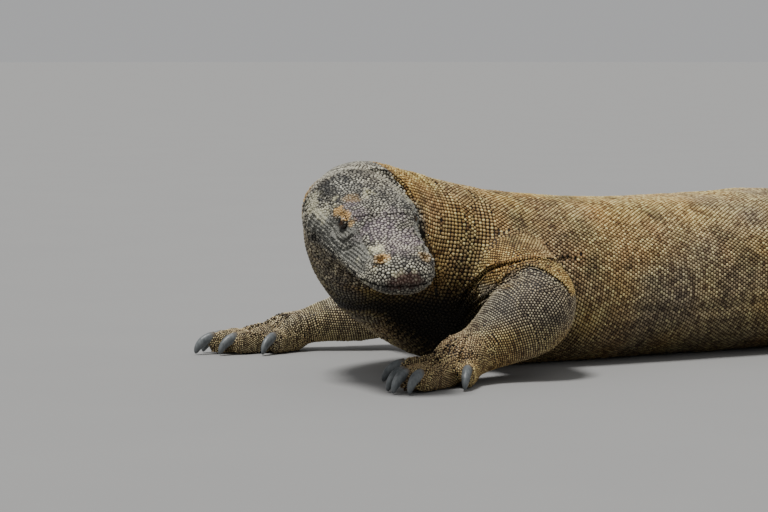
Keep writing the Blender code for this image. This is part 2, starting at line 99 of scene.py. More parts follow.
# %% [markdown]
# ## The animal's measures
# These are the same named sizes that the solids were made from. The skin below is lofted from
# them again, finer, so that it lies in the solids everywhere.

# %% Sizes of the head
HEAD_LENGTH = 0.200
HEAD_TIP = np.array((-0.430, -0.331, 0.136))
HEAD_TURN = math.radians(85.5)
HEAD_DIP = math.radians(21.0)
HEAD_TILT = math.radians(2.0)
EYE_RADIUS = 0.0084
EYE_PLACE = (0.565, 0.201, 0.124)  # back, out and up, in head lengths, as the next three are
NOSTRIL_PLACE = (0.110, 0.136, 0.100)
LEFT_BROW = (0.620, 0.185, 0.200)
CROWN_PIT = (0.738, -0.004, 0.230)
MOUTH_CORNER = 0.735  # back
HEAD_STATIONS = (  # back, half width, roof, jaw depth, squareness, in head lengths
    (0.000, 0.060, 0.018, 0.060, 2.2),
    (0.020, 0.128, 0.062, 0.100, 2.3),
    (0.060, 0.176, 0.092, 0.118, 2.5),
    (0.120, 0.208, 0.110, 0.128, 2.6),
    (0.200, 0.222, 0.124, 0.142, 2.6),
    (0.320, 0.230, 0.146, 0.160, 2.6),
    (0.440, 0.245, 0.178, 0.178, 2.5),
    (0.560, 0.268, 0.208, 0.196, 2.4),
    (0.700, 0.306, 0.226, 0.222, 2.3),
    (0.840, 0.328, 0.238, 0.255, 2.2),
    (0.960, 0.318, 0.242, 0.285, 2.1),
    (1.080, 0.290, 0.232, 0.310, 2.0),
    (1.180, 0.240, 0.190, 0.260, 2.0),
)
HEAD_RELIEF = (  # back, out, up, reach along each, and how far the surface moves out
    (0.520, 0.200, 0.215, 0.120, 0.070, 0.060, 0.030),
    (0.560, 0.185, 0.205, 0.065, 0.060, 0.055, 0.034),
    (0.565, 0.260, 0.105, 0.065, 0.090, 0.042, -0.034),
    (0.115, 0.150, 0.100, 0.060, 0.060, 0.050, 0.016),
    (0.300, 0.175, 0.125, 0.170, 0.045, 0.045, 0.012),
    (0.330, 0.000, 0.160, 0.120, 0.110, 0.060, -0.010),
    (0.370, 0.240, 0.050, 0.110, 0.060, 0.045, -0.014),
    (0.800, 0.330, 0.020, 0.120, 0.100, 0.110, 0.026),
    (0.720, 0.170, 0.230, 0.110, 0.075, 0.060, 0.012),
    (0.300, 0.240, -0.050, 0.200, 0.080, 0.040, 0.014),
)
MOUTH = ((-0.050, -0.030), (0.060, -0.040), (0.200, -0.055), (0.380, -0.072), (0.560, -0.074),
         (0.680, -0.054), (0.760, -0.044))  # back, and the height of the mouth's line there
print("head", HEAD_LENGTH, "long, stations", len(HEAD_STATIONS))

# %% Sizes of the body
BODY_STATIONS = (  # place of the axis, half width, height over it, depth under it, squareness
    (-0.4190, -0.1830, 0.2090, 0.044, 0.036, 0.044, 2.0),
    (-0.4130, -0.1430, 0.2010, 0.058, 0.057, 0.068, 2.0),
    (-0.3840, -0.1030, 0.1880, 0.071, 0.078, 0.092, 2.1),
    (-0.3350, -0.0680, 0.1680, 0.081, 0.084, 0.112, 2.1),
    (-0.2680, -0.0440, 0.1480, 0.092, 0.090, 0.128, 2.2),
    (-0.1970, -0.0310, 0.1300, 0.106, 0.093, 0.132, 2.2),
    (-0.1100, -0.0180, 0.1160, 0.121, 0.097, 0.122, 2.2),
    (0.0000, 0.0000, 0.1080, 0.131, 0.098, 0.113, 2.3),
    (0.1200, 0.0170, 0.1060, 0.138, 0.100, 0.111, 2.3),
    (0.2300, 0.0270, 0.1050, 0.136, 0.104, 0.110, 2.3),
    (0.3200, 0.0300, 0.1020, 0.121, 0.103, 0.106, 2.2),
    (0.4100, 0.0270, 0.0960, 0.098, 0.093, 0.100, 2.1),
    (0.4900, 0.0200, 0.0860, 0.074, 0.077, 0.090, 2.0),
    (0.5700, 0.0070, 0.0740, 0.057, 0.063, 0.078, 2.0),
    (0.6900, -0.0180, 0.0600, 0.0440, 0.0510, 0.0640, 2.0),
    (0.8400, -0.0580, 0.0480, 0.0335, 0.0415, 0.0520, 2.0),
    (1.0100, -0.1130, 0.0380, 0.0253, 0.0333, 0.0415, 2.0),
    (1.1900, -0.1680, 0.0290, 0.0186, 0.0257, 0.0320, 2.0),
    (1.3700, -0.2030, 0.0210, 0.0131, 0.0187, 0.0236, 2.0),
    (1.5400, -0.2080, 0.0150, 0.0090, 0.0125, 0.0173, 2.0),
    (1.6800, -0.1830, 0.0095, 0.0052, 0.0075, 0.0114, 2.0),
)
LEGS = {  # joints from the trunk to the wrist, their radii, and each digit's heading and reach
    "front_left": (
        ((-.188, -.048, .125), (-.188, -.113, .115), (-.196, -.206, .090), (-.284, -.214, .043)),
        (0.062, 0.058, 0.048, 0.0290),
        ((-21.1, 0.111), (19, 0.147), (26.6, 0.160), (33.8, 0.156), (55.5, 0.095))),
    "front_right": (
        ((-.190, .012, .115), (-.200, .057, .105), (-.210, .170, .068), (-.325, .207, .034)),
        (0.060, 0.056, 0.040, 0.0235),
        ((-30, 0.092), (-9, 0.131), (1, 0.154), (9, 0.138), (26, 0.102))),
    "back_left": (
        ((.425, .008, .095), (.405, -.060, .088), (.318, -.178, .090), (.430, -.232, .038)),
        (0.072, 0.068, 0.047, 0.0250),
        ((40, 0.095), (54, 0.122), (65, 0.145), (78, 0.165), (112, 0.098))),
    "back_right": (
        ((.425, .048, .095), (.410, .112, .088), (.336, .234, .090), (.456, .278, .038)),
        (0.072, 0.068, 0.047, 0.0250),
        ((34, 0.095), (49, 0.122), (60, 0.145), (72, 0.165), (106, 0.098))),
}
LEG_SAG = {"front": 0.28, "back": 0.0}  # how far the lower limb hangs, in radii
CLAW_LENGTH = 0.037  # along its arc
CLAW_BED = 0.006  # the part that sits in the toe
CLAW_HALF = (0.0060, 0.0072)  # half its width and half its depth at the root
CLAW_ROOT = 0.0225  # the height of its middle line at the root, and at the tip
CLAW_TIP = 0.0018
CLAW_TURN = (math.radians(4), math.radians(80))  # how far it points down at the root and the tip
print("body stations", len(BODY_STATIONS), "legs", list(LEGS))

# %% [markdown]
# ## Tubes
# A body, a leg and a toe are all tubes: an oval carried along a curved line. They could be
# pulled out of a cube by hand, but then no size would have a name. Here the line and the oval's
# sizes are given at a few stations, and a Catmull-Rom curve fills in what lies between.


# %% Curves and ovals
def smooth_rows(rows, count):
    """A Catmull-Rom curve through the rows, read at even steps of its length."""
    rows = np.array(rows, float)
    held = np.vstack([2 * rows[0] - rows[1], rows, 2 * rows[-1] - rows[-2]])
    t = np.linspace(0, 1, 24, endpoint=False)[:, None]
    fine = []
    for a, b, c, d in zip(held, held[1:], held[2:], held[3:]):
        fine.append(b + 0.5 * ((c - a) * t + (2 * a - 5 * b + 4 * c - d) * t**2
                               + (3 * b - a - 3 * c + d) * t**3))
    fine = np.vstack([*fine, rows[-1:]])
    steps = np.linalg.norm(np.diff(fine[:, :3], axis=0), axis=1)
    length = np.concatenate([[0], np.cumsum(steps)])
    even = np.linspace(0, length[-1], count)
    return np.stack([np.interp(even, length, column) for column in fine.T], 1)


def section(around, squareness):
    """A superellipse: the sine and cosine of each angle, raised to the power 2 / squareness."""
    angle = np.linspace(0, 2 * np.pi, around, endpoint=False)
    out, up = np.cos(angle), np.sin(angle)
    power = 2 / squareness
    return np.sign(out) * abs(out) ** power, np.sign(up) * abs(up) ** power


def unit(vectors):
    """Each vector divided by its own length."""
    return vectors / (np.linalg.norm(vectors, axis=-1, keepdims=True) + 1e-12)


def bell(distance, width):
    """exp(-(distance / width)^2), which is 1 on the line and 0 far from it."""
    return np.exp(-(distance / width) ** 2)


def ease(value, low, high):
    """0 below low and 1 above high, and 3t^2 - 2t^3 between."""
    t = np.clip((value - low) / (high - low), 0, 1)
    return t * t * (3 - 2 * t)


def rings_of(rows, around):
    """For each row, place + x * half width * side + z * height * up over the oval's points."""
    places = rows[:, :3]
    ahead = unit(np.gradient(places, axis=0))
    side = unit(np.cross(ahead, (0, 0, 1)))
    up = np.cross(side, ahead)
    rings = []
    for place, s, u, (wide, high, deep, square) in zip(places, side, up, rows[:, 3:]):
        x, z = section(around, square)
        rings.append(place + np.outer(x * wide, s) + np.outer(np.where(z > 0, high, deep) * z, u))
    return np.array(rings)


# %% The head's own frame
def head_axes():
    """Unit vectors of the head: level heading turned and dipped, then tilted about itself."""
    level = np.array((-math.cos(HEAD_TURN), -math.sin(HEAD_TURN), 0))
    left = np.cross((0, 0, 1), level)
    up = math.sin(HEAD_DIP) * level + (0, 0, math.cos(HEAD_DIP))
    ahead = math.cos(HEAD_DIP) * level - (0, 0, math.sin(HEAD_DIP))
    tilt = math.cos(HEAD_TILT), math.sin(HEAD_TILT)
    return ahead, left * tilt[0] + up * tilt[1], up * tilt[0] - left * tilt[1]


HEAD_AHEAD, HEAD_LEFT, HEAD_UP = head_axes()
HEAD_FRAME = HEAD_LENGTH * np.array((-HEAD_AHEAD, HEAD_LEFT, HEAD_UP))


def from_head(points):
    """Tip + back, left and up in head lengths, times the head's axes."""
    return HEAD_TIP + np.asarray(points, float) @ HEAD_FRAME


def to_head(points):
    """The same the other way: where points lie back, left and up, in head lengths."""
    return (points - HEAD_TIP) @ HEAD_FRAME.T / HEAD_LENGTH**2


def in_head(points):
    """1 in the head and 0 in the rest of the animal, with a soft edge where the neck begins."""
    back_, left, up = to_head(points).T
    return ease(back_, 1.08, 0.98) * ease(abs(left), 0.52, 0.44) * ease(up, -0.50, -0.42)


def relieved(points):
    """Moves head points away from the head's line by a sum of bells, exp(-(distance/reach)^2)."""
    back, out, up = points[..., 0], points[..., 1], points[..., 2]
    outward = unit(np.stack([np.zeros_like(out), out, up], -1))
    move = np.zeros_like(back)
    for b, o, u, reach_b, reach_o, reach_u, amount in HEAD_RELIEF:
        far = ((back - b) / reach_b) ** 2 + ((abs(out) - o) / reach_o) ** 2
        move += amount * np.exp(-far - ((up - u) / reach_u) ** 2)
    return points + outward * move[..., None]


def head_rings(count, around):
    """Superelliptic sections down the head, then the relief, then placed in the world."""
    stations = [(row[0], 0, 0, *row[1:]) for row in HEAD_STATIONS]
    rings = []
    for back_, _, _, wide, high, deep, square in smooth_rows(stations, count):
        x, z = section(around, square)
        tall = np.where(z > 0, high, deep) * z
        rings.append(np.stack([np.full_like(x, back_), x * wide, tall], 1))
    return from_head(relieved(np.array(rings)))


# %% Legs, toes and claws as tubes
def heading(name, degrees):
    """A level unit vector, turned from -X towards the leg's own side."""
    side = -1 if name.endswith("left") else 1
    angle = math.radians(degrees)
    return np.array((-math.cos(angle), side * math.sin(angle), 0))


def leg_rows(name):
    """Stations from inside the trunk to the knuckles; the lower limb sags under its axis."""
    joints, (r_root, r_upper, r_middle, r_wrist), digits = LEGS[name]
    root, upper, middle, wrist = (np.array(joint) for joint in joints)
    palm = wrist + 0.052 * heading(name, digits[2][0])
    sag = LEG_SAG[name.split("_")[0]]
    return [
        (*root, r_root, r_root, r_root, 2),
        (*upper, r_upper, r_upper * 1.05, r_upper, 2),
        (*(0.45 * upper + 0.55 * middle), r_middle * 1.12, r_middle * 1.15, r_middle * 1.1, 2),
        (*middle, r_middle * 0.98, r_middle, r_middle * (1 + 0.5 * sag), 2),
        (*(0.62 * middle + 0.38 * wrist), r_middle * 0.87, r_middle * 0.88,
         r_middle * (0.84 + sag), 2),
        (*(0.25 * middle + 0.75 * wrist), r_wrist * 1.14, r_wrist * 1.05,
         r_wrist * (1.15 + sag), 2),
        (*wrist, r_wrist * 1.08, r_wrist * 0.85, r_wrist * 1.15, 2.1),
        (*(0.5 * (wrist + palm) - (0, 0, 0.006)), 0.030, 0.023, 0.033, 2.3),
        (*(palm - (0, 0, 0.013)), 0.026, 0.017, 0.025, 2.3),
    ]


def digit_frame(name, digit):
    """Wrist on the floor, the digit's heading, and how far out its claw springs."""
    joints, _, digits = LEGS[name]
    degrees, reach = digits[digit]
    bend = CLAW_LENGTH / (CLAW_TURN[1] - CLAW_TURN[0])
    run = bend * (math.sin(CLAW_TURN[1]) - math.sin(CLAW_TURN[0]))
    return np.array(joints[3]) * (1, 1, 0), heading(name, degrees), reach - run + CLAW_BED


def digit_rows(name, digit):
    """Stations along a toe, with a swelling over each of its two joints."""
    wrist, ahead, end = digit_frame(name, digit)
    up = np.array((0, 0, 1))
    return [
        (*(wrist + 0.22 * end * ahead + 0.0270 * up), 0.0110, 0.0130, 0.0250, 2),
        (*(wrist + 0.50 * end * ahead + 0.0230 * up), 0.0115, 0.0145, 0.0245, 2.1),
        (*(wrist + 0.68 * end * ahead + 0.0200 * up), 0.0102, 0.0120, 0.0210, 2.1),
        (*(wrist + 0.85 * end * ahead + 0.0195 * up), 0.0108, 0.0122, 0.0205, 2.1),
        (*(wrist + 1.00 * end * ahead + 0.0180 * up), 0.0080, 0.0090, 0.0165, 2.0),
        (*(wrist + (end + 0.004) * ahead + 0.0170 * up), 0.0050, 0.0060, 0.0120, 2.0),
    ]


def claw_rings(name, digit, count, around):
    """An arc that starts nearly level and turns down, with an oval that thins towards the tip."""
    wrist, ahead, end = digit_frame(name, digit)
    along = np.linspace(0, 1, count)
    turn = CLAW_TURN[0] + (CLAW_TURN[1] - CLAW_TURN[0]) * along
    bend = CLAW_LENGTH / (CLAW_TURN[1] - CLAW_TURN[0])
    out = end - CLAW_BED + bend * (np.sin(turn) - math.sin(CLAW_TURN[0]))
    drop = math.cos(CLAW_TURN[0]) - math.cos(CLAW_TURN[1])
    fall = (math.cos(CLAW_TURN[0]) - np.cos(turn)) / drop
    high = CLAW_ROOT - (CLAW_ROOT - CLAW_TIP) * fall
    size = np.sqrt(1 - 0.985 * along**2.1)[:, None, None]
    side = np.cross(ahead, (0, 0, 1))
    normal = np.sin(turn)[:, None] * ahead + np.cos(turn)[:, None] * (0, 0, 1)
    angle = np.linspace(0, 2 * np.pi, around, endpoint=False)
    centre = wrist + out[:, None] * ahead + high[:, None] * (0, 0, 1)
    wide = np.cos(angle)[None, :, None] * CLAW_HALF[0] * size
    deep = np.sin(angle)[None, :, None] * CLAW_HALF[1] * size
    return centre[:, None] + wide * side + deep * normal[:, None]


TUBES = {"body": rings_of(smooth_rows(BODY_STATIONS, 420), 96), "head": head_rings(140, 96)}
for leg in LEGS:
    TUBES[leg] = rings_of(smooth_rows(leg_rows(leg), 120), 64)
    for digit in range(5):
        TUBES[f"{leg}_{digit}"] = rings_of(smooth_rows(digit_rows(leg, digit), 48), 32)
print("tubes", len(TUBES))


# %% [markdown]
# ## From arrays to meshes
# Rings of points become a closed mesh: quads between neighbouring rings and a fan at each end.

# %% Mesh helpers
def tube_faces(count, around, start=0):
    """Quads (i, j), (i, j+1), (i+1, j+1), (i+1, j), and two fans to the two end centres."""
    i, j = np.meshgrid(np.arange(count - 1), np.arange(around), indexing="ij")
    k = (j + 1) % around
    here, after = i * around, (i + 1) * around
    quads = np.stack([here + j, here + k, after + k, after + j], -1)
    j, k = np.arange(around), (np.arange(around) + 1) % around
    last = (count - 1) * around
    first_fan = np.stack([j, np.full(around, count * around), k], 1)
    last_fan = np.stack([last + k, np.full(around, count * around + 1), last + j], 1)
    fans = np.vstack([first_fan, last_fan])
    return (start + quads.reshape(-1, 4)).tolist() + (start + fans).tolist()


def new_object(name, points, faces, smooth=True):
    """An object in the scene, made of these points and faces, with every face turned outwards."""
    mesh = bpy.data.meshes.new(name)
    mesh.from_pydata(np.asarray(points).tolist(), [], faces)
    shape = bmesh.new()
    shape.from_mesh(mesh)
    bmesh.ops.recalc_face_normals(shape, faces=shape.faces)
    shape.to_mesh(mesh)
    shape.free()
    mesh.polygons.foreach_set("use_smooth", np.full(len(mesh.polygons), smooth))
    obj = bpy.data.objects.new(name, mesh)
    bpy.context.scene.collection.objects.link(obj)
    return obj


def tube_object(name, tubes):
    """One object that holds each of the tubes as a closed mesh."""
    points, faces = [], []
    for rings in tubes:
        start = sum(len(part) for part in points)
        faces += tube_faces(*rings.shape[:2], start)
        points.append(np.vstack([rings.reshape(-1, 3), rings[0].mean(0), rings[-1].mean(0)]))
    return new_object(name, np.vstack(points), faces)


def settled(obj):
    """The object with its modifiers worked into its mesh."""
    graph = bpy.context.evaluated_depsgraph_get()
    mesh = bpy.data.meshes.new_from_object(obj.evaluated_get(graph))
    old = obj.data
    obj.modifiers.clear()
    obj.data = mesh
    bpy.data.meshes.remove(old)
    return obj


def column(items, key, width, kind=np.float32):
    """One property of every item of a mesh, as an array with that many columns."""
    values = np.empty(len(items) * width, kind)
    items.foreach_get(key, values)
    return values.reshape(-1, width) if width > 1 else values


# %% [markdown]
# ## One skin
# The skin is cast whole. Boolean unions would leave a hard edge where a limb meets the trunk.
# So all the tubes are put into one mesh, a voxel remesh melts them together, and the points are
# then relaxed, which rounds those places. The head, the eyes, the nostrils and the deep creases
# get their faces split finer, since the eye of a visitor goes there first. Where the skin is
# plain it is thinned again at the end.

# %% Cast the skin
VOXEL = 0.0026

skin = tube_object("skin", TUBES.values())
melt = skin.modifiers.new("melt", "REMESH")
melt.mode = "VOXEL"
melt.voxel_size = VOXEL
skin = settled(skin)
print("cast skin", len(skin.data.vertices), "points")


# %% Where the skin folds
# The last number of each fold says how dark the painted shade along its bottom is.
FOLD_PATHS = {  # path, depth, width, and how dark it is
    "nape": (((-.398, -.142, .250), (-.371, -.135, .250), (-.358, -.138, .245),
              (-.346, -.142, .234), (-.340, -.146, .213), (-.328, -.150, .186),
              (-.318, -.147, .160), (-.302, -.140, .125), (-.296, -.132, .098)),
             0.0095, 0.0032, 0.97),
    "armpit_front": (((-.263, -.122, .069), (-.262, -.126, .079), (-.259, -.129, .093),
                      (-.250, -.133, .106), (-.245, -.145, .119), (-.239, -.161, .130),
                      (-.232, -.177, .136), (-.221, -.190, .142), (-.205, -.198, .145),
                      (-.181, -.202, .144), (-.158, -.190, .141), (-.140, -.165, .139),
                      (-.126, -.142, .139)), 0.0090, 0.0025, 1.00),
    "armpit_end": (((-.132, -.148, .139), (-.115, -.136, .139), (-.097, -.135, .138),
                    (-.077, -.135, .134)), 0.0020, 0.0015, 0.20),
    "arm_inner": (((-.258, -.118, .058), (-.252, -.124, .071), (-.242, -.136, .088),
                   (-.245, -.176, .101), (-.239, -.187, .115), (-.233, -.195, .125),
                   (-.226, -.202, .130)), 0.0045, 0.0018, 0.85),
    "arm_behind": (((-.225, -.199, .132), (-.218, -.203, .136), (-.210, -.209, .138),
                    (-.202, -.221, .136), (-.194, -.233, .129), (-.183, -.239, .120),
                    (-.175, -.241, .112), (-.170, -.242, .102)), 0.0050, 0.0018, 0.92),
    "armpit_far": (((-.270, .050, .050), (-.262, .075, .090), (-.240, .105, .118),
                    (-.200, .110, .125), (-.150, .115, .118), (-.110, .110, .100)),
                   0.0060, 0.0042, 0.70),
    "flank_left": (((-.060, -.132, .075), (.040, -.134, .060), (.140, -.124, .062),
                    (.240, -.108, .075), (.310, -.098, .095)), 0.0016, 0.0065, 0.02),
    "flank_right": (((-.090, .105, .085), (.020, .128, .072), (.120, .152, .072),
                     (.230, .160, .080), (.310, .152, .100)), 0.0040, 0.0060, 0.20),
    "groin_left": (((.285, -.135, .060), (.300, -.125, .100), (.340, -.120, .140),
                    (.390, -.095, .150), (.450, -.075, .130)), 0.0050, 0.0045, 0.60),
    "groin_right": (((.300, .190, .060), (.315, .178, .100), (.350, .172, .140),
                     (.395, .150, .150), (.450, .130, .130)), 0.0050, 0.0045, 0.60),
}
# The last number of each groove says how dark the painted shade along it is.
GROOVE_PATHS = (  # path in head lengths on either side, depth, width, and how dark it is
    (((.445, .180, .152), (.400, .180, .138), (.300, .181, .110), (.187, .176, .094),
      (.104, .183, .064), (.060, .140, .060)), 0.0036, 0.0018, 0.55),
    (((.660, .262, .100), (.610, .260, .062), (.533, .254, .040), (.477, .240, .040),
      (.438, .222, .080), (.397, .188, .128)), 0.0030, 0.0015, 0.88),
    (((.700, .280, .060), (.620, .266, .015), (.533, .252, -.004), (.450, .236, .000),
      (.390, .216, .046), (.350, .195, .092)), 0.0018, 0.0013, 0.60),
    (((.950, .235, .185), (.860, .250, .170), (.750, .240, .163), (.680, .236, .150)),
     0.0028, 0.0022, 0.75),
    (((.500, .005, .190), (.495, .060, .188), (.500, .120, .183), (.512, .190, .172)),
     0.0016, 0.0017, 0.50),
    (((.505, .225, -.090), (.600, .250, -.104), (.714, .287, -.108), (.820, .302, -.135),
      (.930, .290, -.175)), 0.0040, 0.0030, 0.92),
)


def path_distance(points, path, count=60):
    """The distance to a smooth path, and how far along it, from 0 to 1, the nearest place is."""
    line = smooth_rows(path, count)
    near = np.full(len(points), 9.0)
    along = np.zeros(len(points))
    for i, (a, b) in enumerate(zip(line, line[1:])):
        t = np.clip((points - a) @ (b - a) / ((b - a) @ (b - a)), 0, 1)
        far = np.linalg.norm(points - a - t[:, None] * (b - a), axis=1)
        closer = far < near
        near[closer] = far[closer]
        along[closer] = (i + t[closer]) / (count - 1)
    return near, along


def near_path(points, path, reach):
    """Which points lie in the path's box, grown by the reach; distances are worked out there."""
    return ((points > np.min(path, 0) - reach) & (points < np.max(path, 0) + reach)).all(1)


def laid(tree, path, count=48):
    """The path's smooth line, each point dropped to the nearest place of the skin, then eased."""
    line = np.array([tree.find_nearest(spot)[0] for spot in smooth_rows(path, count).tolist()])
    for _ in range(3):
        line[1:-1] = 0.25 * line[:-2] + 0.5 * line[1:-1] + 0.25 * line[2:]
    return line


# %% Relax and refine
def relaxed(points, edges, times, weight=0.5):
    """Each point moves part of the way to the mean of its neighbours."""
    points = points.copy()
    a, b = edges.T
    count = np.bincount(edges.ravel(), minlength=len(points))
    for _ in range(times):
        for axis in range(points.shape[1]):
            values = points[:, axis]
            total = np.bincount(a, values[b], len(points)) + np.bincount(b, values[a], len(points))
            points[:, axis] = values + weight * (total / count - values)
    return points


def refine(obj, chosen_points):
    """Splits every edge whose two ends are chosen, which makes four faces of one."""
    mesh = obj.data
    ends = column(mesh.edges, "vertices", 2, np.int32)
    chosen = np.flatnonzero(chosen_points[ends].all(1))
    shape = bmesh.new()
    shape.from_mesh(mesh)
    shape.edges.ensure_lookup_table()
    bmesh.ops.subdivide_edges(shape, edges=[shape.edges[i] for i in chosen], cuts=1,
                              use_grid_fill=True)
    shape.to_mesh(mesh)
    shape.free()


def eye_centre(side):
    """The middle of the eyeball, where side is 1 for the left and -1 for the right."""
    back_, out, up = EYE_PLACE
    return from_head((back_, side * out, up))


def nostril_centre(side):
    """The middle of the nostril, on the left or the right."""
    back_, out, up = NOSTRIL_PLACE
    return from_head((back_, side * out, up))


ROUNDS = 10  # of relaxing all over
SHOULDER_ROUNDS = 70  # more of them over the left shoulder, where neck, trunk and leg meet
SHOULDER = (-.175, -.115, .168)
SHOULDER_REACH = 0.045

points = column(skin.data.vertices, "co", 3)
edges = column(skin.data.edges, "vertices", 2, np.int32)
points = relaxed(points, edges, ROUNDS)
over_shoulder = bell(np.linalg.norm(points - SHOULDER, axis=1), SHOULDER_REACH)
points = relaxed(points, edges, SHOULDER_ROUNDS, 0.5 * ease(over_shoulder, 0.15, 0.75))
skin.data.vertices.foreach_set("co", points.ravel())
cast_faces = column(skin.data.polygons, "vertices", 4, np.int32).tolist()
cast_tree = BVHTree.FromPolygons(points.tolist(), cast_faces)
FOLDS = {title: (laid(cast_tree, path), *how) for title, (path, *how) in FOLD_PATHS.items()}
for leg in LEGS:
    wrist, _, _ = digit_frame(leg, 0)
    for digit in range(4):
        (left_turn, left_reach), (right_turn, right_reach) = LEGS[leg][2][digit:digit + 2]
        between = heading(leg, 0.5 * (left_turn + right_turn))
        reach = min(left_reach, right_reach)
        web = [(*(wrist + part * reach * between)[:2], rise)
               for part, rise in ((0.22, 0.060), (0.36, 0.050), (0.52, 0.040), (0.66, 0.030))]
        # 0.60 is the painted shade along the groove between two toes.
        FOLDS[f"web_{leg}_{digit}"] = (laid(cast_tree, web), 0.0036, 0.0018, 0.60)
HEAD_GROOVES = [(laid(cast_tree, from_head(np.array(path) * (1, side, 1))), *how)
                for path, *how in GROOVE_PATHS for side in (-1, 1)]
CREASES = ("nape", "armpit_front", "arm_inner", "arm_behind")


def crease_distance(points, reach, titles=CREASES):
    """The distance to the nearest of the named creases, or the reach where it is more."""
    found = np.full(len(points), reach)
    for title in titles:
        path = FOLDS[title][0]
        near = near_path(points, path, reach)
        found[near] = np.minimum(found[near], path_distance(points[near], path)[0])
    return found


fine = (in_head(points) > 0.01) | (crease_distance(points, 0.012) < 0.011)
refine(skin, fine)
points = column(skin.data.vertices, "co", 3)
back_, left, up = to_head(points).T
fine = (in_head(points) > 0.5) & (abs(left) > 0.13) & (abs(up) < 0.10) & (abs(back_ - 0.5) < 0.32)
for side in (-1, 1):
    fine |= np.linalg.norm(points - eye_centre(side), axis=1) < 0.020
    fine |= np.linalg.norm(points - nostril_centre(side), axis=1) < 0.011
refine(skin, fine)
edges = column(skin.data.edges, "vertices", 2, np.int32)
points = column(skin.data.vertices, "co", 3).astype(float)
points = relaxed(points, edges, 4, 0.5 * (in_head(points) > 0.01))
print("refined skin", len(points), "points")


# %% [markdown]
# ## Folds, lids, lips and nostrils
# Every form here is a small move of the skin along its normal. A bell, exp(-(d / width)^2),
# makes a swelling; turned over, with a low bank on either side, it makes a fold. The distance d
# is measured to a path, to a line on the head or to a place on a toe. Sculpting by hand could
# do the same, but a formula can be read, and can be changed by one number.

# %% Sculpting tools
def fold(distance, width):
    """A groove one deep, with a bank of 0.2 on either side."""
    return 0.2 * bell(abs(distance) - 2.2 * width, 1.2 * width) - bell(distance, width)


def noise(points, size, seed):
    """Smooth random values from -1 to 1: one for each corner of a grid of cubes, blended."""
    grid = np.asarray(points) / size + seed * 17.31
    low = np.floor(grid).astype(np.int64)
    t = grid - low
    t = t * t * (3 - 2 * t)
    total = np.zeros(len(grid))
    for corner in np.ndindex(2, 2, 2):
        mixed = ((low + corner) * (73856093, 19349663, 83492791)).sum(1) + seed * 374761393
        mixed = (mixed ^ (mixed >> 13)) * 1274126177 & 0xFFFFFFFF
        value = ((mixed ^ (mixed >> 16)) & 0xFFFF) / 32767.5 - 1
        total += value * np.prod(np.where(corner, t, 1 - t), axis=1)
    return total


def normals_now(obj, points):
    """Writes the points to the mesh and reads back the normal at each."""
    obj.data.vertices.foreach_set("co", np.asarray(points, np.float32).ravel())
    obj.data.update()
    return column(obj.data.vertex_normals, "vector", 3).astype(float)


# %% Mouth, nostrils and wrinkles of the face
def mouth_height(back_):
    """The height of the mouth's line at a place down the head, in head lengths."""
    line = np.array(MOUTH)
    return np.interp(back_, line[:, 0], line[:, 1])


CHEEK_TOP = ((.06, .104, .187, .30, .445, .60, .75, .90),  # back in head lengths, and the
             (.016, .022, .030, .035, .044, .036, .034, .030))  # cheek's top over the mouth


def cheek_part(points):
    """1 on the smooth wrinkled cheek between the snout's edge, the eye and the mouth; else 0."""
    back_, left, up = to_head(points).T
    over = (up - mouth_height(back_)) * HEAD_LENGTH
    part = ease(back_, 0.10, 0.20) * ease(back_, 0.90, 0.76) * ease(over, 0.003, 0.008)
    top = np.interp(back_, *CHEEK_TOP)
    part *= ease(over, top + 0.002, top - 0.004) * ease(abs(left), 0.13, 0.18)
    return part * (in_head(points) > 0.5)


def face_move(points):
    """How far each point moves out, in metres, for the lips, the wrinkles and the nostrils."""
    back_, left, up = to_head(points).T
    over = (up - mouth_height(back_)) * HEAD_LENGTH
    in_mouth = ease(back_, 0.755, 0.700)
    move = 0.0021 * in_mouth * fold(over, 0.0010)
    move += 0.0010 * in_mouth * bell(over - 0.0045, 0.0030)
    corner = np.hypot(back_ - MOUTH_CORNER, over / HEAD_LENGTH) * HEAD_LENGTH
    move -= 0.0028 * bell(corner, 0.0055) * ease(abs(left), 0.15, 0.25)
    wander = 0.0030 * noise(points, 0.035, 3)
    line = 0.5 - 0.5 * np.cos((over + 0.5 * wander) * 2 * np.pi / 0.0042)
    move -= 0.0014 * cheek_part(points) * line**3
    jowl = ease(back_, 0.62, 0.76) * ease(back_, 1.12, 1.0) * ease(abs(left), 0.16, 0.24)
    jowl *= ease(over, 0.036, 0.02)
    move += 0.0010 * jowl * np.cos((back_ * HEAD_LENGTH + 0.35 * over + wander) * 2 * np.pi / 0.011)
    throat = ease(over, -0.016, -0.028) * ease(back_, 0.25, 0.45)
    move += 0.0015 * throat * np.cos((left * HEAD_LENGTH + 1.6 * wander) * 2 * np.pi / 0.012)
    move += 0.0007 * noise(points, 0.011, 5) + 0.0004 * noise(points, 0.005, 6)
    for side in (-1, 1):
        far = np.linalg.norm(points - nostril_centre(side), axis=1)
        move += 0.0015 * bell(far - 0.0056, 0.0020) - 0.0085 * bell(far, 0.0034)
    for path, depth, width, _ in HEAD_GROOVES:
        near = near_path(points, path, 4 * width)
        far, along = path_distance(points[near], path)
        move[near] += depth * ease(along, 0, 0.15) * ease(along, 1, 0.85) * fold(far, width)
    brow = np.linalg.norm(points - from_head(LEFT_BROW), axis=1)
    move += 0.0026 * bell(brow, 0.0110)
    pit = np.linalg.norm(points - from_head(CROWN_PIT), axis=1)
    move += 0.0014 * bell(pit - 0.0042, 0.0014) - 0.0024 * bell(pit, 0.0028)
    return move * in_head(points)


normals = normals_now(skin, points)
points += normals * face_move(points)[:, None]

# %% [markdown]
# The eye is a ball deep in the head. The lids are the skin itself, laid over the ball with an
# almond-shaped slit left open; inside the slit the skin drops back behind the ball.


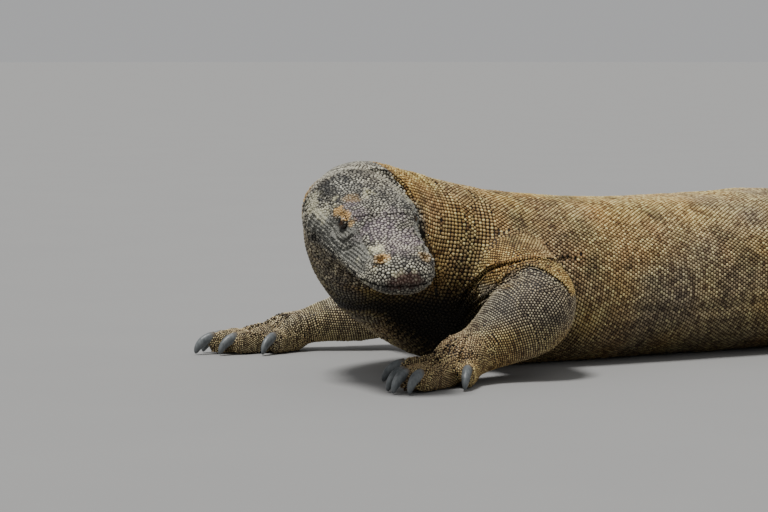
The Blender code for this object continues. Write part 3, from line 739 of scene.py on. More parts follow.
# %% Eyelids
EYE_OUTWARD = unit(np.array((-0.10, 0.93, 0.27)))  # back, out and up: the way the eye looks
LID_REACH = 0.0080  # half the length of the slit
LID_TOP = 0.0030  # the slit's height over its middle line
LID_BOTTOM = 0.0041
LID_THICK = 0.0016


def eye_axes(side):
    """The eye's own axes: the way it looks, along the head, and up."""
    look = unit((EYE_OUTWARD * (1, side, 1)) @ HEAD_FRAME)
    along = unit(-HEAD_AHEAD - look * (-HEAD_AHEAD @ look))
    rise = np.cross(look, along)
    return look, along, rise * np.sign(rise @ HEAD_UP)


def slit(along, rise):
    """Below 1 inside the almond: the height over or under its middle, by its height there."""
    fore = np.clip(1 - (along / LID_REACH) ** 2, 0, 1) ** 0.8
    edge = np.where(rise > 0, LID_TOP, LID_BOTTOM) * fore + 1e-5
    return abs(rise) / edge


def with_lids(points):
    """Near each eye: the ball's own height plus a lid, and less than the ball in the slit."""
    points = points.copy()
    for side in (-1, 1):
        look, along, rise = eye_axes(side)
        offset = points - eye_centre(side)
        x, y, z = offset @ along, offset @ rise, offset @ look
        reach = np.hypot(x, y)
        near = (reach < 0.0175) & (z > -0.004)
        x, y, z, reach = x[near], y[near], z[near], reach[near]
        ball = np.sqrt(np.clip(EYE_RADIUS**2 - reach**2, 0, None))
        open_ = slit(x, y)
        lid = ball + LID_THICK * (0.75 + 0.5 * bell(open_ - 1.25, 0.35))
        lid += 0.0010 * bell(y - 0.0056, 0.0011) * (y > 0)
        over = ease(reach, 0.0138, 0.0080)
        target = z + over * (np.maximum(lid, z - 0.002) - z)
        target = np.where((open_ < 1) & (reach < EYE_RADIUS), ball - 0.0030, target)
        points[near] += (target - z)[:, None] * look
    return points


points = with_lids(points)
print("lids cut")

# %% Folds of the neck, shoulders, flanks and toes
def wrist_ribs(points, leg):
    """cos(2 pi t / 0.0058) round the wrist, where t is the place along the lower limb."""
    elbow, wrist = np.array(LEGS[leg][0][2:])
    along = (points - wrist) @ unit(wrist - elbow)
    reach = bell(np.linalg.norm(points - wrist, axis=1), 0.036)
    return reach * np.cos(2 * np.pi * (along + 0.002 * noise(points, 0.02, 15)) / 0.0058)


def body_move(points):
    """The listed folds, the loose skin of the neck in low waves, and a ring at each toe joint."""
    move = np.zeros(len(points))
    for path, depth, width, _ in FOLDS.values():
        near = near_path(points, path, 4 * width)
        far, along = path_distance(points[near], path)
        move[near] += depth * ease(along, 0, 0.12) * ease(along, 1, 0.88) * fold(far, width)
    outer, inner = FOLDS["armpit_front"][0], FOLDS["arm_inner"][0]
    near = near_path(points, inner, 0.020)
    from_outer, _ = path_distance(points[near], outer)
    from_inner, _ = path_distance(points[near], inner)
    between = ease(from_outer, 0.006, 0.009) * bell(from_inner, 0.013)
    move[near] += 0.0008 * between * np.cos(2 * np.pi * from_outer / 0.0052)
    x, y, z = points.T
    head_back = to_head(points)[:, 0]
    neck = ease(x, -0.10, -0.22) * ease(head_back, 0.95, 1.08)
    wander = noise(points, 0.060, 11)
    ripple = np.cos(2 * np.pi * ((x * 0.80 + y * 0.55) / 0.017 + 0.9 * wander))
    move += 0.0009 * neck * ripple * (0.5 + 0.5 * noise(points, 0.05, 12))
    move += 0.0016 * noise(points, 0.050, 13) + 0.0007 * noise(points, 0.018, 14)
    for leg in LEGS:
        move += 0.0007 * wrist_ribs(points, leg)
        for digit in range(5):
            wrist, ahead, end = digit_frame(leg, digit)
            offset = points - wrist
            along = offset @ ahead
            side = offset - along[:, None] * ahead
            near = bell(np.linalg.norm(side[:, :2], axis=1), 0.011)
            near *= ease(along, 0.2 * end, 0.4 * end)
            rings = sum(fold(along - part * end, 0.0016) for part in (0.48, 0.66, 0.74, 0.93))
            move += 0.0011 * near * rings * ease(z, 0.004, 0.012)
    return move * (1 - in_head(points))


normals = normals_now(skin, points)
points += normals * body_move(points)[:, None]
print("folds", len(FOLDS))

# %% Sink by the coat's depth, and lie flat on the floor
COAT = 0.0011

normals = normals_now(skin, points)
points -= COAT * normals
points[:, 2] = np.maximum(points[:, 2], COAT)
normals_now(skin, points)

# %% Thin the skin where it is plain
SKIN_TRIANGLES = 188000

keep = np.maximum(in_head(points), ease(crease_distance(points, 0.013), 0.012, 0.006))
group = skin.vertex_groups.new(name="thin")
for level in range(6):
    chosen = np.flatnonzero(np.round(5 * keep) == level)
    group.add(chosen.tolist(), 0.80 - 0.12 * level, "REPLACE")
thin = skin.modifiers.new("thin", "DECIMATE")
thin.vertex_group = "thin"
thin.vertex_group_factor = 1.0
thin.ratio = SKIN_TRIANGLES / (2 * len(skin.data.polygons))
skin = settled(skin)
skin.vertex_groups.clear()
skin.data.polygons.foreach_set("use_smooth", np.full(len(skin.data.polygons), True))
skin_points = column(skin.data.vertices, "co", 3).astype(float)
skin.data.calc_loop_triangles()
skin_triangles = column(skin.data.loop_triangles, "vertices", 3, np.int32)
print("skin", len(skin_triangles), "triangles")

# %% [markdown]
# ## Where each scale grows
# A dragon's scales stand in rows across the body, each row set half a scale over from the last,
# like bricks. Scattered points would show no rows. So the roots are laid out tube by tube, row by
# row, and then dropped onto the skin. Along the deep creases and the lips they follow the crease
# or the lip. The head's plates are uneven, so its roots are scattered, and scattered roots also
# fill the bare places where two tubes meet.
#
# A sieve drops each root that stands too close to an earlier one. It runs first over the rows,
# with those along the creases in front, and then over everything. After it, neighbours that are
# still close push each other apart a few times, which evens out the gaps.

# %% Rows of roots
BODY_PITCH = ((0.00, 0.0042), (0.06, 0.0047), (0.16, 0.0049), (0.30, 0.0050), (0.50, 0.0052),
              (0.60, 0.0049), (0.72, 0.0043), (0.85, 0.0035), (1.00, 0.0022))
LEG_PITCH = {"front": ((0.00, 0.0044), (0.50, 0.0040), (0.75, 0.0034), (1.00, 0.0030)),
             "back": ((0.00, 0.0048), (0.45, 0.0046), (0.75, 0.0038), (1.00, 0.0032))}
DIGIT_PITCH = ((0.00, 0.0030), (1.00, 0.0027))
ROW_STEP = 0.90  # from row to row, in pitches, since each row sits in the gaps of the last
SNAP = {"body": 0.0090, "leg": 0.0085, "digit": 0.0045}  # how far a root may drop to the skin


def kind_of(tube):
    """Which of the four kinds of tube this name belongs to: body, head, leg or digit."""
    return tube if tube in ("body", "head") else ("digit" if tube[-1].isdigit() else "leg")


def lengths(line):
    """The length run from the start of a line to each of its points."""
    steps = np.linalg.norm(np.diff(line, axis=0), axis=1)
    return np.concatenate([[0], np.cumsum(steps)])


def rows_of_roots(rings, pitches):
    """Rows at equal steps of the integral of ds / pitch, where ds is the tube's length on its
    longer side; in each, roots at equal steps of the ring's own length on both sides of its top,
    with every second row moved by half a step. These half-step rows come last in the list."""
    around = rings.shape[1]
    rings = np.roll(rings, around // 4, axis=1)  # begins underneath
    rings = np.concatenate([rings, rings[:, :1]], 1)
    middles = rings[:, :-1].mean(1)
    down = lengths(middles)
    share = down / down[-1]
    pitch = np.interp(share, *zip(*pitches))
    longer = np.quantile(np.linalg.norm(np.diff(rings, axis=0), axis=2), 0.85, axis=1)
    count = np.concatenate([[0], np.cumsum(longer / (ROW_STEP * pitch[1:]))])
    at = np.interp(np.arange(0.5, count[-1]), count, np.arange(len(rings)))
    low = np.minimum(at.astype(int), len(rings) - 2)
    mix = (at - low)[:, None, None]
    rows = rings[low] * (1 - mix) + rings[low + 1] * mix
    heading_ = unit(np.gradient(middles, axis=0))
    roots, tangents, wide, spots = [], [], [], []
    for i, (ring, where) in sorted(enumerate(zip(rows, at)), key=lambda item: item[0] % 2):
        arc = lengths(ring)
        step = np.interp(where, np.arange(len(rings)), pitch)
        top = arc[around // 2]
        first = math.ceil(-top / step)
        spot = top + (np.arange(first, -first) + 0.5 * (i % 2)) * step
        spot = spot[(spot > 0.3 * step) & (spot < arc[-1] - 0.3 * step)]
        roots.append(np.stack([np.interp(spot, arc, ring[:, axis]) for axis in range(3)], 1))
        tangents.append(np.repeat(heading_[int(where)][None], len(spot), 0))
        wide.append(np.full(len(spot), step))
        part = np.interp(where, np.arange(len(rings)), share)
        fixed = np.repeat([[part, i, arc[-1], down[-1]]], len(spot), 0)
        spots.append(np.column_stack([spot / arc[-1], fixed]))
    return np.vstack(roots), np.vstack(tangents), np.concatenate(wide), np.vstack(spots)


ROOT = {"place": [], "along": [], "pitch": [], "spot": [], "tube": [], "snap": []}
TUBE_NAMES = list(TUBES)
for tube in sorted(TUBES, key=lambda name: ("digit", "leg", "body", "head").index(kind_of(name))):
    kind = kind_of(tube)
    if kind == "head":
        continue
    leg_pitch = LEG_PITCH.get(tube.split("_")[0])
    pitches = {"body": BODY_PITCH, "leg": leg_pitch, "digit": DIGIT_PITCH}[kind]
    found = rows_of_roots(TUBES[tube], pitches)
    for key, value in zip(("place", "along", "pitch", "spot"), found):
        ROOT[key].append(value)
    ROOT["tube"].append(np.full(len(found[0]), TUBE_NAMES.index(tube)))
    ROOT["snap"].append(np.full(len(found[0]), SNAP[kind]))
rows = {key: np.concatenate(value) for key, value in ROOT.items()}
print("roots in rows", len(rows["place"]))

# %% Drop them onto the skin
skin_tree = BVHTree.FromPolygons(skin_points.tolist(), skin_triangles.tolist())
hits = [skin_tree.find_nearest(spot, reach)
        for spot, reach in zip(rows["place"].tolist(), rows["snap"].tolist())]
landed = np.array([hit[0] is not None for hit in hits])
rows = {key: value[landed] for key, value in rows.items()}
rows["place"] = np.array([hit[0] for hit in hits if hit[0] is not None])
rows["normal"] = np.array([hit[1] for hit in hits if hit[0] is not None])
middles = np.zeros_like(rows["place"])
for i, rings in enumerate(TUBES.values()):
    mine = rows["tube"] == i
    middles[mine] = rings.mean(1)[(rows["spot"][mine, 1] * (len(rings) - 1)).astype(int)]
faces_out = ((rows["place"] - middles) * rows["normal"]).sum(1) > 0
AXIS = smooth_rows(BODY_STATIONS, 200)[:, :6]


def from_trunk(points):
    """Round the trunk's axis: how far aside and over it in its own sizes, and the two as one."""
    nearest = np.interp(points[:, 0], AXIS[:, 0], np.arange(len(AXIS))).round().astype(int)
    place_, wide, high, deep = AXIS[nearest, :3], *AXIS[nearest, 3:6].T
    aside = abs(points[:, 1] - place_[:, 1]) / wide
    over = points[:, 2] - place_[:, 2]
    over = np.where(over > 0, over / high, over / deep)
    return aside, over, (aside**2.2 + abs(over) ** 2.2) ** (1 / 2.2)


kept = faces_out & (in_head(rows["place"]) < 0.5)
on_leg = rows["snap"] == SNAP["leg"]
kept &= ~(on_leg & (from_trunk(rows["place"])[2] < 1.06))
for leg in LEGS:
    ahead = np.array([digit_frame(leg, digit)[1] for digit in range(5)])
    wrist = digit_frame(leg, 0)[0]
    towards = np.argmax((rows["place"] - wrist) @ ahead.T, axis=1)
    for digit in range(5):
        mine = rows["tube"] == TUBE_NAMES.index(f"{leg}_{digit}")
        kept &= ~mine | (towards == digit)
rows = {key: value[kept] for key, value in rows.items()}
print("roots on the skin", len(rows["place"]))


# %% Scattered roots for the head and for bare places
def scattered(count):
    """Points spread evenly over the skin: a triangle by its area, then a place in it."""
    a, b, c = (skin_points[skin_triangles[:, i]] for i in range(3))
    cross = np.cross(b - a, c - a)
    area = np.linalg.norm(cross, axis=1) / 2
    pick = np.searchsorted(np.cumsum(area) / area.sum(), dice.random(count))
    u, v = np.sqrt(dice.random(count)), dice.random(count)
    weights = np.stack([1 - u, u * (1 - v), u * v], 1)[..., None]
    place_ = weights[:, 0] * a[pick] + weights[:, 1] * b[pick] + weights[:, 2] * c[pick]
    return place_, unit(cross[pick]), area.sum()


def head_pitch(place_):
    """Big plates on the snout and crown, small ones round the eyes, nostrils and on the cheek."""
    back_, left, up = to_head(place_).T
    pitch = 0.0032 + 0.0004 * bell(back_ - 0.34, 0.16) * bell(left, 0.16) * (up > 0)
    pitch += 0.0010 * ease(back_, 0.85, 1.05) - 0.0010 * cheek_part(place_)
    for side in (-1, 1):
        pitch -= 0.0010 * bell(np.linalg.norm(place_ - eye_centre(side), axis=1), 0.015)
        pitch -= 0.0007 * bell(np.linalg.norm(place_ - nostril_centre(side), axis=1), 0.008)
    return np.maximum(pitch, 0.0019)


LIP_WIDTH = ((0, .02, .06, .12, .3, .56, .8), (.03, .10, .165, .20, .23, .265, .31))
LIP_PITCH = 0.0029
LIP_SNAP = 0.012  # how far a lip's root may drop to the skin
EDGE_PITCH = 0.0036
EDGE_STEP = 0.0034  # between roots along a crease
TRIES = 900000
FILL_TRIES = 260000

lip_rows = []
for offset in (0.0020, -0.0020, 0.0048, -0.0046):
    for side in (-1, 1):
        back_ = np.arange(0.0, 0.73, 0.0155)
        level = mouth_height(back_) + offset / HEAD_LENGTH
        out = side * np.interp(back_, *LIP_WIDTH)
        lip_rows.append(from_head(np.stack([back_, out, level], 1)))
lip_hits = [skin_tree.find_nearest(spot, LIP_SNAP) for spot in np.vstack(lip_rows).tolist()]
lip_hits = [hit for hit in lip_hits if hit[0]]
lip = {"place": np.array([hit[0] for hit in lip_hits]),
       "normal": np.array([hit[1] for hit in lip_hits])}
edge_place, edge_normal = [], []
for title in CREASES:
    path = FOLDS[title][0]
    line = smooth_rows(path, int(lengths(path)[-1] / EDGE_STEP))
    upward = np.array([cast_tree.find_nearest(spot)[1] for spot in line.tolist()])
    side_way = unit(np.cross(np.gradient(line, axis=0), upward))
    for offset in (0, 0.0028, -0.0028, 0.0060, -0.0060):
        for spot in (line + offset * side_way).tolist():
            place_, normal, _, _ = skin_tree.find_nearest(spot)
            edge_place.append(place_)
            edge_normal.append(normal)
edge = {"place": np.array(edge_place), "normal": np.array(edge_normal)}
of_body = in_head(edge["place"]) < 0.5
edge = {key: value[of_body] for key, value in edge.items()}
tries, try_normals, skin_area = scattered(TRIES)
near_head = in_head(tries) >= 0.5
fill_tries, fill_normals = tries[~near_head][:FILL_TRIES], try_normals[~near_head][:FILL_TRIES]
head_tries, head_normals = tries[near_head], try_normals[near_head]
print("lip roots", len(lip["place"]), "head tries", len(head_tries),
      "skin area", round(skin_area, 3))

# %% The sieve
SIEVE = 0.80  # a root needs this much of its pitch free of earlier roots
ROW_SIEVE = 0.70  # and a root in a row needs only this
BARE = 0.70  # ground is bare where the nearest root in a row is this many pitches away


def tree_of(places):
    """A search tree over the places."""
    tree = KDTree(len(places))
    for i, spot in enumerate(places.tolist()):
        tree.insert(spot, i)
    tree.balance()
    return tree


def sieve(places, reach):
    """Goes through the roots in order and drops each later one that is within the reach."""
    tree = tree_of(places)
    alive = np.ones(len(places), bool)
    for i, (spot, far_) in enumerate(zip(places.tolist(), reach.tolist())):
        if alive[i]:
            for _, j, _ in tree.find_range(spot, far_):
                if j > i:
                    alive[j] = False
    return alive


tree = tree_of(rows["place"])
by_edge = np.array([tree.find(spot)[1] for spot in edge["place"].tolist()])
edge = {**{key: value[by_edge] for key, value in rows.items()}, **edge}
edge["pitch"] = np.full(len(by_edge), EDGE_PITCH)
edge["fixed"] = np.ones(len(by_edge))
rows["fixed"] = np.zeros(len(rows["place"]))
rows = {key: np.concatenate([edge[key], rows[key]]) for key in rows}
alive = sieve(rows["place"], SIEVE * rows["pitch"])
rows = {key: value[alive] for key, value in rows.items()}
row_tree = tree_of(rows["place"])
nearest = np.array([row_tree.find(spot)[1] for spot in fill_tries.tolist()])
far = np.linalg.norm(fill_tries - rows["place"][nearest], axis=1)
bare = far > BARE * rows["pitch"][nearest]
fill_tries, fill_normals, nearest = fill_tries[bare], fill_normals[bare], nearest[bare]
HEAD = TUBE_NAMES.index("head")
head_wide = head_pitch(head_tries) * dice.uniform(0.80, 1.18, len(head_tries))
order = np.argsort(-head_wide, kind="stable")
n_lip, n_head, n_fill = len(lip["place"]), len(head_tries), len(fill_tries)
every = {
    "place": np.vstack([rows["place"], lip["place"], head_tries[order], fill_tries]),
    "normal": np.vstack([rows["normal"], lip["normal"], head_normals[order], fill_normals]),
    "along": np.vstack([rows["along"], np.repeat(-HEAD_AHEAD[None], n_lip + n_head, 0),
                        rows["along"][nearest]]),
    "pitch": np.concatenate([rows["pitch"], np.full(n_lip, LIP_PITCH), head_wide[order],
                             rows["pitch"][nearest]]),
    "tube": np.concatenate([rows["tube"], np.full(n_lip + n_head, HEAD), rows["tube"][nearest]]),
    "spot": np.vstack([rows["spot"], np.zeros((n_lip + n_head, 5)), rows["spot"][nearest]]),
    "fixed": np.concatenate([rows["fixed"], np.ones(n_lip), np.zeros(n_head + n_fill)]),
}
reach = SIEVE * every["pitch"]
reach[:len(rows["place"])] *= ROW_SIEVE / SIEVE


def clear_of_openings(place_):
    """Not in the eye's slit or a nostril, not in the mouth's line or the bottom of a crease, and
    not under the belly. A root that isn't clear keeps its cell, but no scale grows from it."""
    back_, _, up = to_head(place_).T
    clear = place_[:, 2] > COAT + 0.0006
    in_line = (abs(up - mouth_height(back_)) * HEAD_LENGTH < 0.0009) & (back_ < 0.73)
    clear &= ~(in_line & (in_head(place_) > 0.5))
    clear &= crease_distance(place_, 0.004) > 0.0017
    clear &= crease_distance(place_, 0.005, ("nape",)) > 0.0030
    for side in (-1, 1):
        look, along, rise = eye_axes(side)
        offset = place_ - eye_centre(side)
        x, y, z = offset @ along, offset @ rise, offset @ look
        clear &= ~((slit(x, y) < 1.25) & (np.hypot(x, y) < 0.0090) & (z > -0.004))
        clear &= np.linalg.norm(place_ - nostril_centre(side), axis=1) > 0.0045
    return clear


alive = sieve(every["place"], reach)
roots = {key: value[alive] for key, value in every.items()}


PUSH = 0.33  # the share of what is missing that a root moves by
EVEN_ROUNDS = 4


def evened(roots):
    """Neighbours nearer than the pitch push each other apart, and all drop back to the skin."""
    place_ = roots["place"]
    tree = tree_of(place_)
    near = np.array([[j for _, j, _ in tree.find_n(spot, 7)] for spot in place_.tolist()])[:, 1:]
    away = place_[:, None] - place_[near]
    far_ = np.linalg.norm(away, axis=2) + 1e-9
    wanted = 0.5 * (roots["pitch"][:, None] + roots["pitch"][near])
    push = (away / far_[..., None] * np.clip(wanted - far_, 0, None)[..., None]).sum(1)
    loose = place_ + PUSH * (1 - roots["fixed"])[:, None] * push
    hits = [skin_tree.find_nearest(spot) for spot in loose.tolist()]
    moved = np.array([hit[0] for hit in hits])
    turned = np.array([hit[1] for hit in hits])
    return {**roots, "place": moved, "normal": turned}


for _ in range(EVEN_ROUNDS):
    roots = evened(roots)
shown = clear_of_openings(roots["place"])
print("roots kept", len(roots["place"]), "of which scales grow from", int(shown.sum()))

# %% [markdown]
# ## The shape of a scale
# Each scale fills its own cell: the ground that is nearer to its root than to any other. The
# cell's edge in one direction lies where half the distance to some neighbour, divided by the
# cosine of the angle to it, is least. A ring of points goes round the edge, just under the
# skin, a smaller ring stands higher, and one point closes the crown, so that every scale is a
# small closed pebble of about twenty triangles that fits its neighbours with a thin dark gap.

# %% Fit each scale to its neighbours
NEIGHBOURS = 9  # the root itself and eight round it
CELL_LIMIT = 0.92  # a cell with no neighbour on one side ends at this share of the pitch there

tree = tree_of(roots["place"])
around = np.array([[j for _, j, _ in tree.find_n(spot, NEIGHBOURS)]
                   for spot in roots["place"].tolist()])
across = unit(np.cross(roots["normal"], roots["along"]))
forward = np.cross(across, roots["normal"])
offset = roots["place"][around[:, 1:]] - roots["place"][:, None]
flat_x = (offset * forward[:, None]).sum(2)
flat_y = (offset * across[:, None]).sum(2)
squared = (offset**2).sum(2)


def cell_radius(chosen, directions):
    """For each direction, the least of |d|^2 / 2 / (d . direction) over the neighbours ahead."""
    reach = []
    for x, y in directions:
        ahead = flat_x[chosen] * x + flat_y[chosen] * y
        far_ = np.where(ahead > 1e-6, squared[chosen] / 2 / np.maximum(ahead, 1e-6), 1.0)
        reach.append(far_.min(1))
    return np.clip(np.stack(reach, 1), 0, CELL_LIMIT * roots["pitch"][chosen][:, None])


# %% Build the coat
RIM_SUNK = 0.00045  # how far the rim of a scale lies under the skin
FLOOR_GAP = 0.0002  # scales that would reach the floor are pressed flat at this height
BAKE_PATCH = 0.003  # how wide each scale is on the OFBake map


def coat_piece(name, chosen, sides, tall, crown, lean, fit):
    """Rim at `fit` of the cell, along and across, a little under the skin; shoulder at `crown`
    of the rim and 0.8 of the height; apex at the full height, moved back by `lean`."""
    turn = np.arange(sides) * 2 * np.pi / sides
    directions = np.stack([np.cos(turn), np.sin(turn)], 1)
    reach = cell_radius(chosen, directions)
    mean = reach.mean(1)
    flat = 1 - 0.6 * marks["sleek"][chosen]
    high = (tall * mean * (0.85 + 0.3 * luck[chosen]) * flat)[:, None, None]
    place_, up = roots["place"][chosen][:, None], roots["normal"][chosen][:, None]
    shrunk = directions * fit
    ring = (reach[:, :, None] * (shrunk[None, :, :1] * forward[chosen][:, None]
                                 + shrunk[None, :, 1:] * across[chosen][:, None]))
    back_ = lean * mean[:, None, None] * forward[chosen][:, None]
    rim = place_ + ring - RIM_SUNK * up
    shoulder = place_ + crown * ring + 0.5 * back_ + 0.80 * high * up
    apex = place_ + back_ + high * up
    corners = np.concatenate([rim, shoulder, apex], 1)
    corners[..., 2] = np.maximum(corners[..., 2], FLOOR_GAP)
    n, each = len(chosen), 2 * sides + 1
    j = np.arange(sides)
    k = (j + 1) % sides
    walls = np.stack([j, k, sides + k, sides + j], 1).ravel()
    tops = np.stack([sides + j, sides + k, np.full(sides, 2 * sides)], 1).ravel()
    base = j[::-1]
    loops = (np.concatenate([walls, tops, base]) + each * np.arange(n)[:, None]).ravel()
    sizes = np.tile([4] * sides + [3] * sides + [sides], n)
    starts = np.concatenate([[0], np.cumsum(sizes)[:-1]])
    mesh = bpy.data.meshes.new(name)
    mesh.vertices.add(n * each)
    mesh.vertices.foreach_set("co", corners.astype(np.float32).ravel())
    mesh.loops.add(len(loops))
    mesh.loops.foreach_set("vertex_index", loops.astype(np.int32))
    mesh.polygons.add(len(sizes))
    mesh.polygons.foreach_set("loop_start", starts.astype(np.int32))
    mesh.polygons.foreach_set("use_smooth", np.full(len(sizes), True))
    mesh.update(calc_edges=True)
    height = np.concatenate([np.zeros(sides), np.full(sides, 0.75), [1.0]])
    put(mesh, "height", np.tile(height, n))
    put(mesh, "chance", np.repeat(luck[chosen], each))
    put(mesh, "row_chance", np.repeat(row_luck[chosen], each))
    for key, value in marks.items():
        put(mesh, key, np.repeat(value[chosen], each))
    bake = mesh.uv_layers.new(name="OFBake")
    small = 0.5 * BAKE_PATCH * np.concatenate([directions, 0.6 * directions, [[0, 0]]])
    bake_places = unwrap[chosen][:, None] + small[None]
    bake.data.foreach_set("uv", bake_places.reshape(-1, 2)[loops].astype(np.float32).ravel())
    obj = bpy.data.objects.new(name, mesh)
    bpy.context.scene.collection.objects.link(obj)
    return obj


def put(mesh, name, values):
    """A number for each point of a mesh, for its material to read."""
    attribute = mesh.attributes.new(name, "FLOAT", "POINT")
    attribute.data.foreach_set("value", np.asarray(values, np.float32))


# %% [markdown]
# ## Markings
# The skin and its scales must agree, so one set of functions gives the markings of both. An
# image would have to be unwrapped and painted, and would blur close up. Each marking is a number
# from 0 to 1: how warm the ground colour is, how many crowns are pale, how smooth the cheek is,
# and where tan, cream, rosy and slate patches and the dark lip lie. The rosy patches on the top
# of the snout are partly a painted sheen of light on the crowns. One more, deep, is mostly
# painted shade: how dark it is in a fold, in the mouth, eyes and nostrils, and under the body,
# with the hide's own dark blots, bands and slate patches in it. It is strongest under the neck
# and low on the chest by the left arm, where the painted shade stays in any light.

# %% Patches of the head
HEAD_PATCHES = (  # marking; back, left, up and reach in head lengths; strength
    ("tan", 0.650, -0.226, 0.164, 0.034, 0.95), ("tan", 0.600, -0.222, 0.162, 0.032, 0.95),
    ("tan", 0.545, -0.210, 0.162, 0.034, 0.95), ("tan", 0.490, -0.192, 0.154, 0.030, 0.90),
    ("cream", 0.738, -0.004, 0.230, 0.034, 0.60), ("cream", 0.700, -0.040, 0.225, 0.022, 0.50),
    ("tan", 0.110, 0.136, 0.100, 0.034, 0.55), ("tan", 0.112, -0.136, 0.100, 0.048, 0.85),
    ("tan", 0.700, -0.120, 0.222, 0.045, 0.28), ("cream", 0.205, -0.130, 0.114, 0.042, 1.00),
    ("cream", 0.225, -0.160, 0.110, 0.026, 0.85), ("cream", 0.070, -0.105, 0.080, 0.026, 0.60),
    ("cream", 0.016, -0.022, 0.056, 0.024, 0.60), ("cream", 0.030, 0.040, 0.045, 0.026, 0.45),
    ("cream", 0.757, -0.206, 0.194, 0.024, 0.85), ("cream", 0.700, -0.235, 0.175, 0.018, 0.75),
    ("cream", 0.740, -0.294, 0.113, 0.060, 0.55), ("cream", 0.840, -0.300, 0.120, 0.055, 0.45),
    ("cream", 0.950, -0.300, 0.070, 0.060, 0.50), ("cream", 0.194, 0.151, 0.109, 0.030, 0.55),
    ("cream", 0.900, -0.290, -0.120, 0.050, 0.45), ("cream", 0.274, -0.218, 0.030, 0.020, 0.50),
    ("cream", 0.358, -0.226, -0.075, 0.026, 0.55), ("cream", 0.820, 0.260, 0.150, 0.070, 0.30),
    ("cream", 0.150, -0.200, -0.060, 0.024, 0.45), ("cream", 0.085, -0.180, 0.050, 0.020, 0.40),
    ("slate", 0.980, -0.205, 0.186, 0.050, 0.80), ("slate", 0.880, -0.210, 0.193, 0.046, 0.90),
    ("slate", 0.780, -0.215, 0.190, 0.040, 0.80), ("slate", 1.040, 0.060, 0.210, 0.080, 0.55),
    ("slate", 0.930, -0.060, 0.230, 0.050, 0.45), ("slate", 0.420, -0.165, 0.140, 0.036, 0.60),
    ("slate", 0.700, 0.060, 0.228, 0.050, 0.40), ("slate", 0.130, 0.030, 0.110, 0.045, 0.50),
    ("slate", 0.190, 0.120, 0.120, 0.040, 0.55), ("slate", 0.070, 0.100, 0.080, 0.040, 0.50),
    # The rosy patches on the snout's top are partly a rosy tint and partly a painted sheen of light
    # on it.
    ("rosy_sheen", 0.400, -0.050, 0.155, 0.130, 0.90), ("rosy_sheen", 0.300, 0.060, 0.130, 0.120, 0.85),
    ("rosy_sheen", 0.520, -0.120, 0.200, 0.080, 0.90), ("rosy_sheen", 0.220, 0.000, 0.120, 0.100, 0.60),
    ("rosy_sheen", 0.620, -0.160, 0.215, 0.050, 0.60), ("rosy_sheen", 0.480, 0.080, 0.180, 0.080, 0.45),
    ("lip", 0.004, -0.030, 0.014, 0.056, 1.00), ("lip", 0.004, 0.035, 0.012, 0.052, 0.95),
    ("lip", 0.012, -0.085, -0.012, 0.040, 0.80), ("lip", 0.012, 0.085, -0.020, 0.036, 0.70),
    ("cream", 0.014, -0.071, 0.045, 0.020, 0.70), ("cream", 0.022, 0.033, 0.064, 0.022, 0.45),
)
print("patches", len(HEAD_PATCHES))


# %% Where the grey of the head and of the legs ends
NAPE_LIMIT = ((-.45, -.10, .10, .17, .20, .23, .29, .35, .37, .45),  # left, in head lengths, and
              (1.38, 1.48, 1.56, 1.60, 1.52, 1.36, 1.14, 1.06, 1.02, .95))  # how far back it ends
ARM_TOP = ((-.262, -.246, -.239, -.233, -.226, -.210, -.202, -.194, -.183, -.175, -.170),  # x, and
           (.160, .112, .115, .125, .130, .138, .136, .129, .120, .112, .102))  # the height there


def grey_part(points):
    """1 on the head and the start of the neck, and 0 past a border that noise makes ragged."""
    back_, left, up = to_head(points).T
    nape_line = np.interp(left, *NAPE_LIMIT)
    soft = np.interp(left, (-0.15, 0.16), (0.50, 0.05))
    astray = soft * (0.7 * noise(points, 0.045, 27) + 0.5 * noise(points, 0.012, 28))
    grey = ease(back_ + astray, nape_line + soft, nape_line - 0.8 * soft)
    grey *= ease(abs(left) + astray, 0.55 + 0.5 * soft, 0.47 - 0.2 * soft)
    return np.maximum(in_head(points), grey * ease(up + astray, -0.42 - soft, -0.34))


def limb_part(points):
    """1 outside the trunk's own oval, so on the legs; the left arm's ends at the crease over it."""
    x, y, z = points.T
    aside, _, out = from_trunk(points)
    limb = ease(aside, 1.02, 1.16) * ease(x, 0.62, 0.55)
    top = np.interp(x, *ARM_TOP)
    limb *= np.where((y < 0) & (x < 0), ease(z, top + 0.004, top - 0.004), 1)
    limb *= ease(x, -0.33, -0.29)
    hand = ease(x, -0.26, -0.30) * ease(z, 0.085, 0.070) * ease(out, 1.02, 1.10)
    return np.maximum(limb, hand) * (1 - in_head(points))


# %% Painted shade in creases and openings
def crease_shade(points):
    """Painted shade in the creases: the greatest, over all folds and grooves, of its darkness
    times a bell of the distance.
    """
    deep = np.zeros(len(points))
    for path, _, width, dark in (*FOLDS.values(), *HEAD_GROOVES):
        near = near_path(points, path, 4 * width)
        far_, along = path_distance(points[near], path)
        ends = ease(along, 0, 0.1) * ease(along, 1, 0.9)
        deep[near] = np.maximum(deep[near], dark * bell(far_, 1.15 * width) * ends)
    return deep


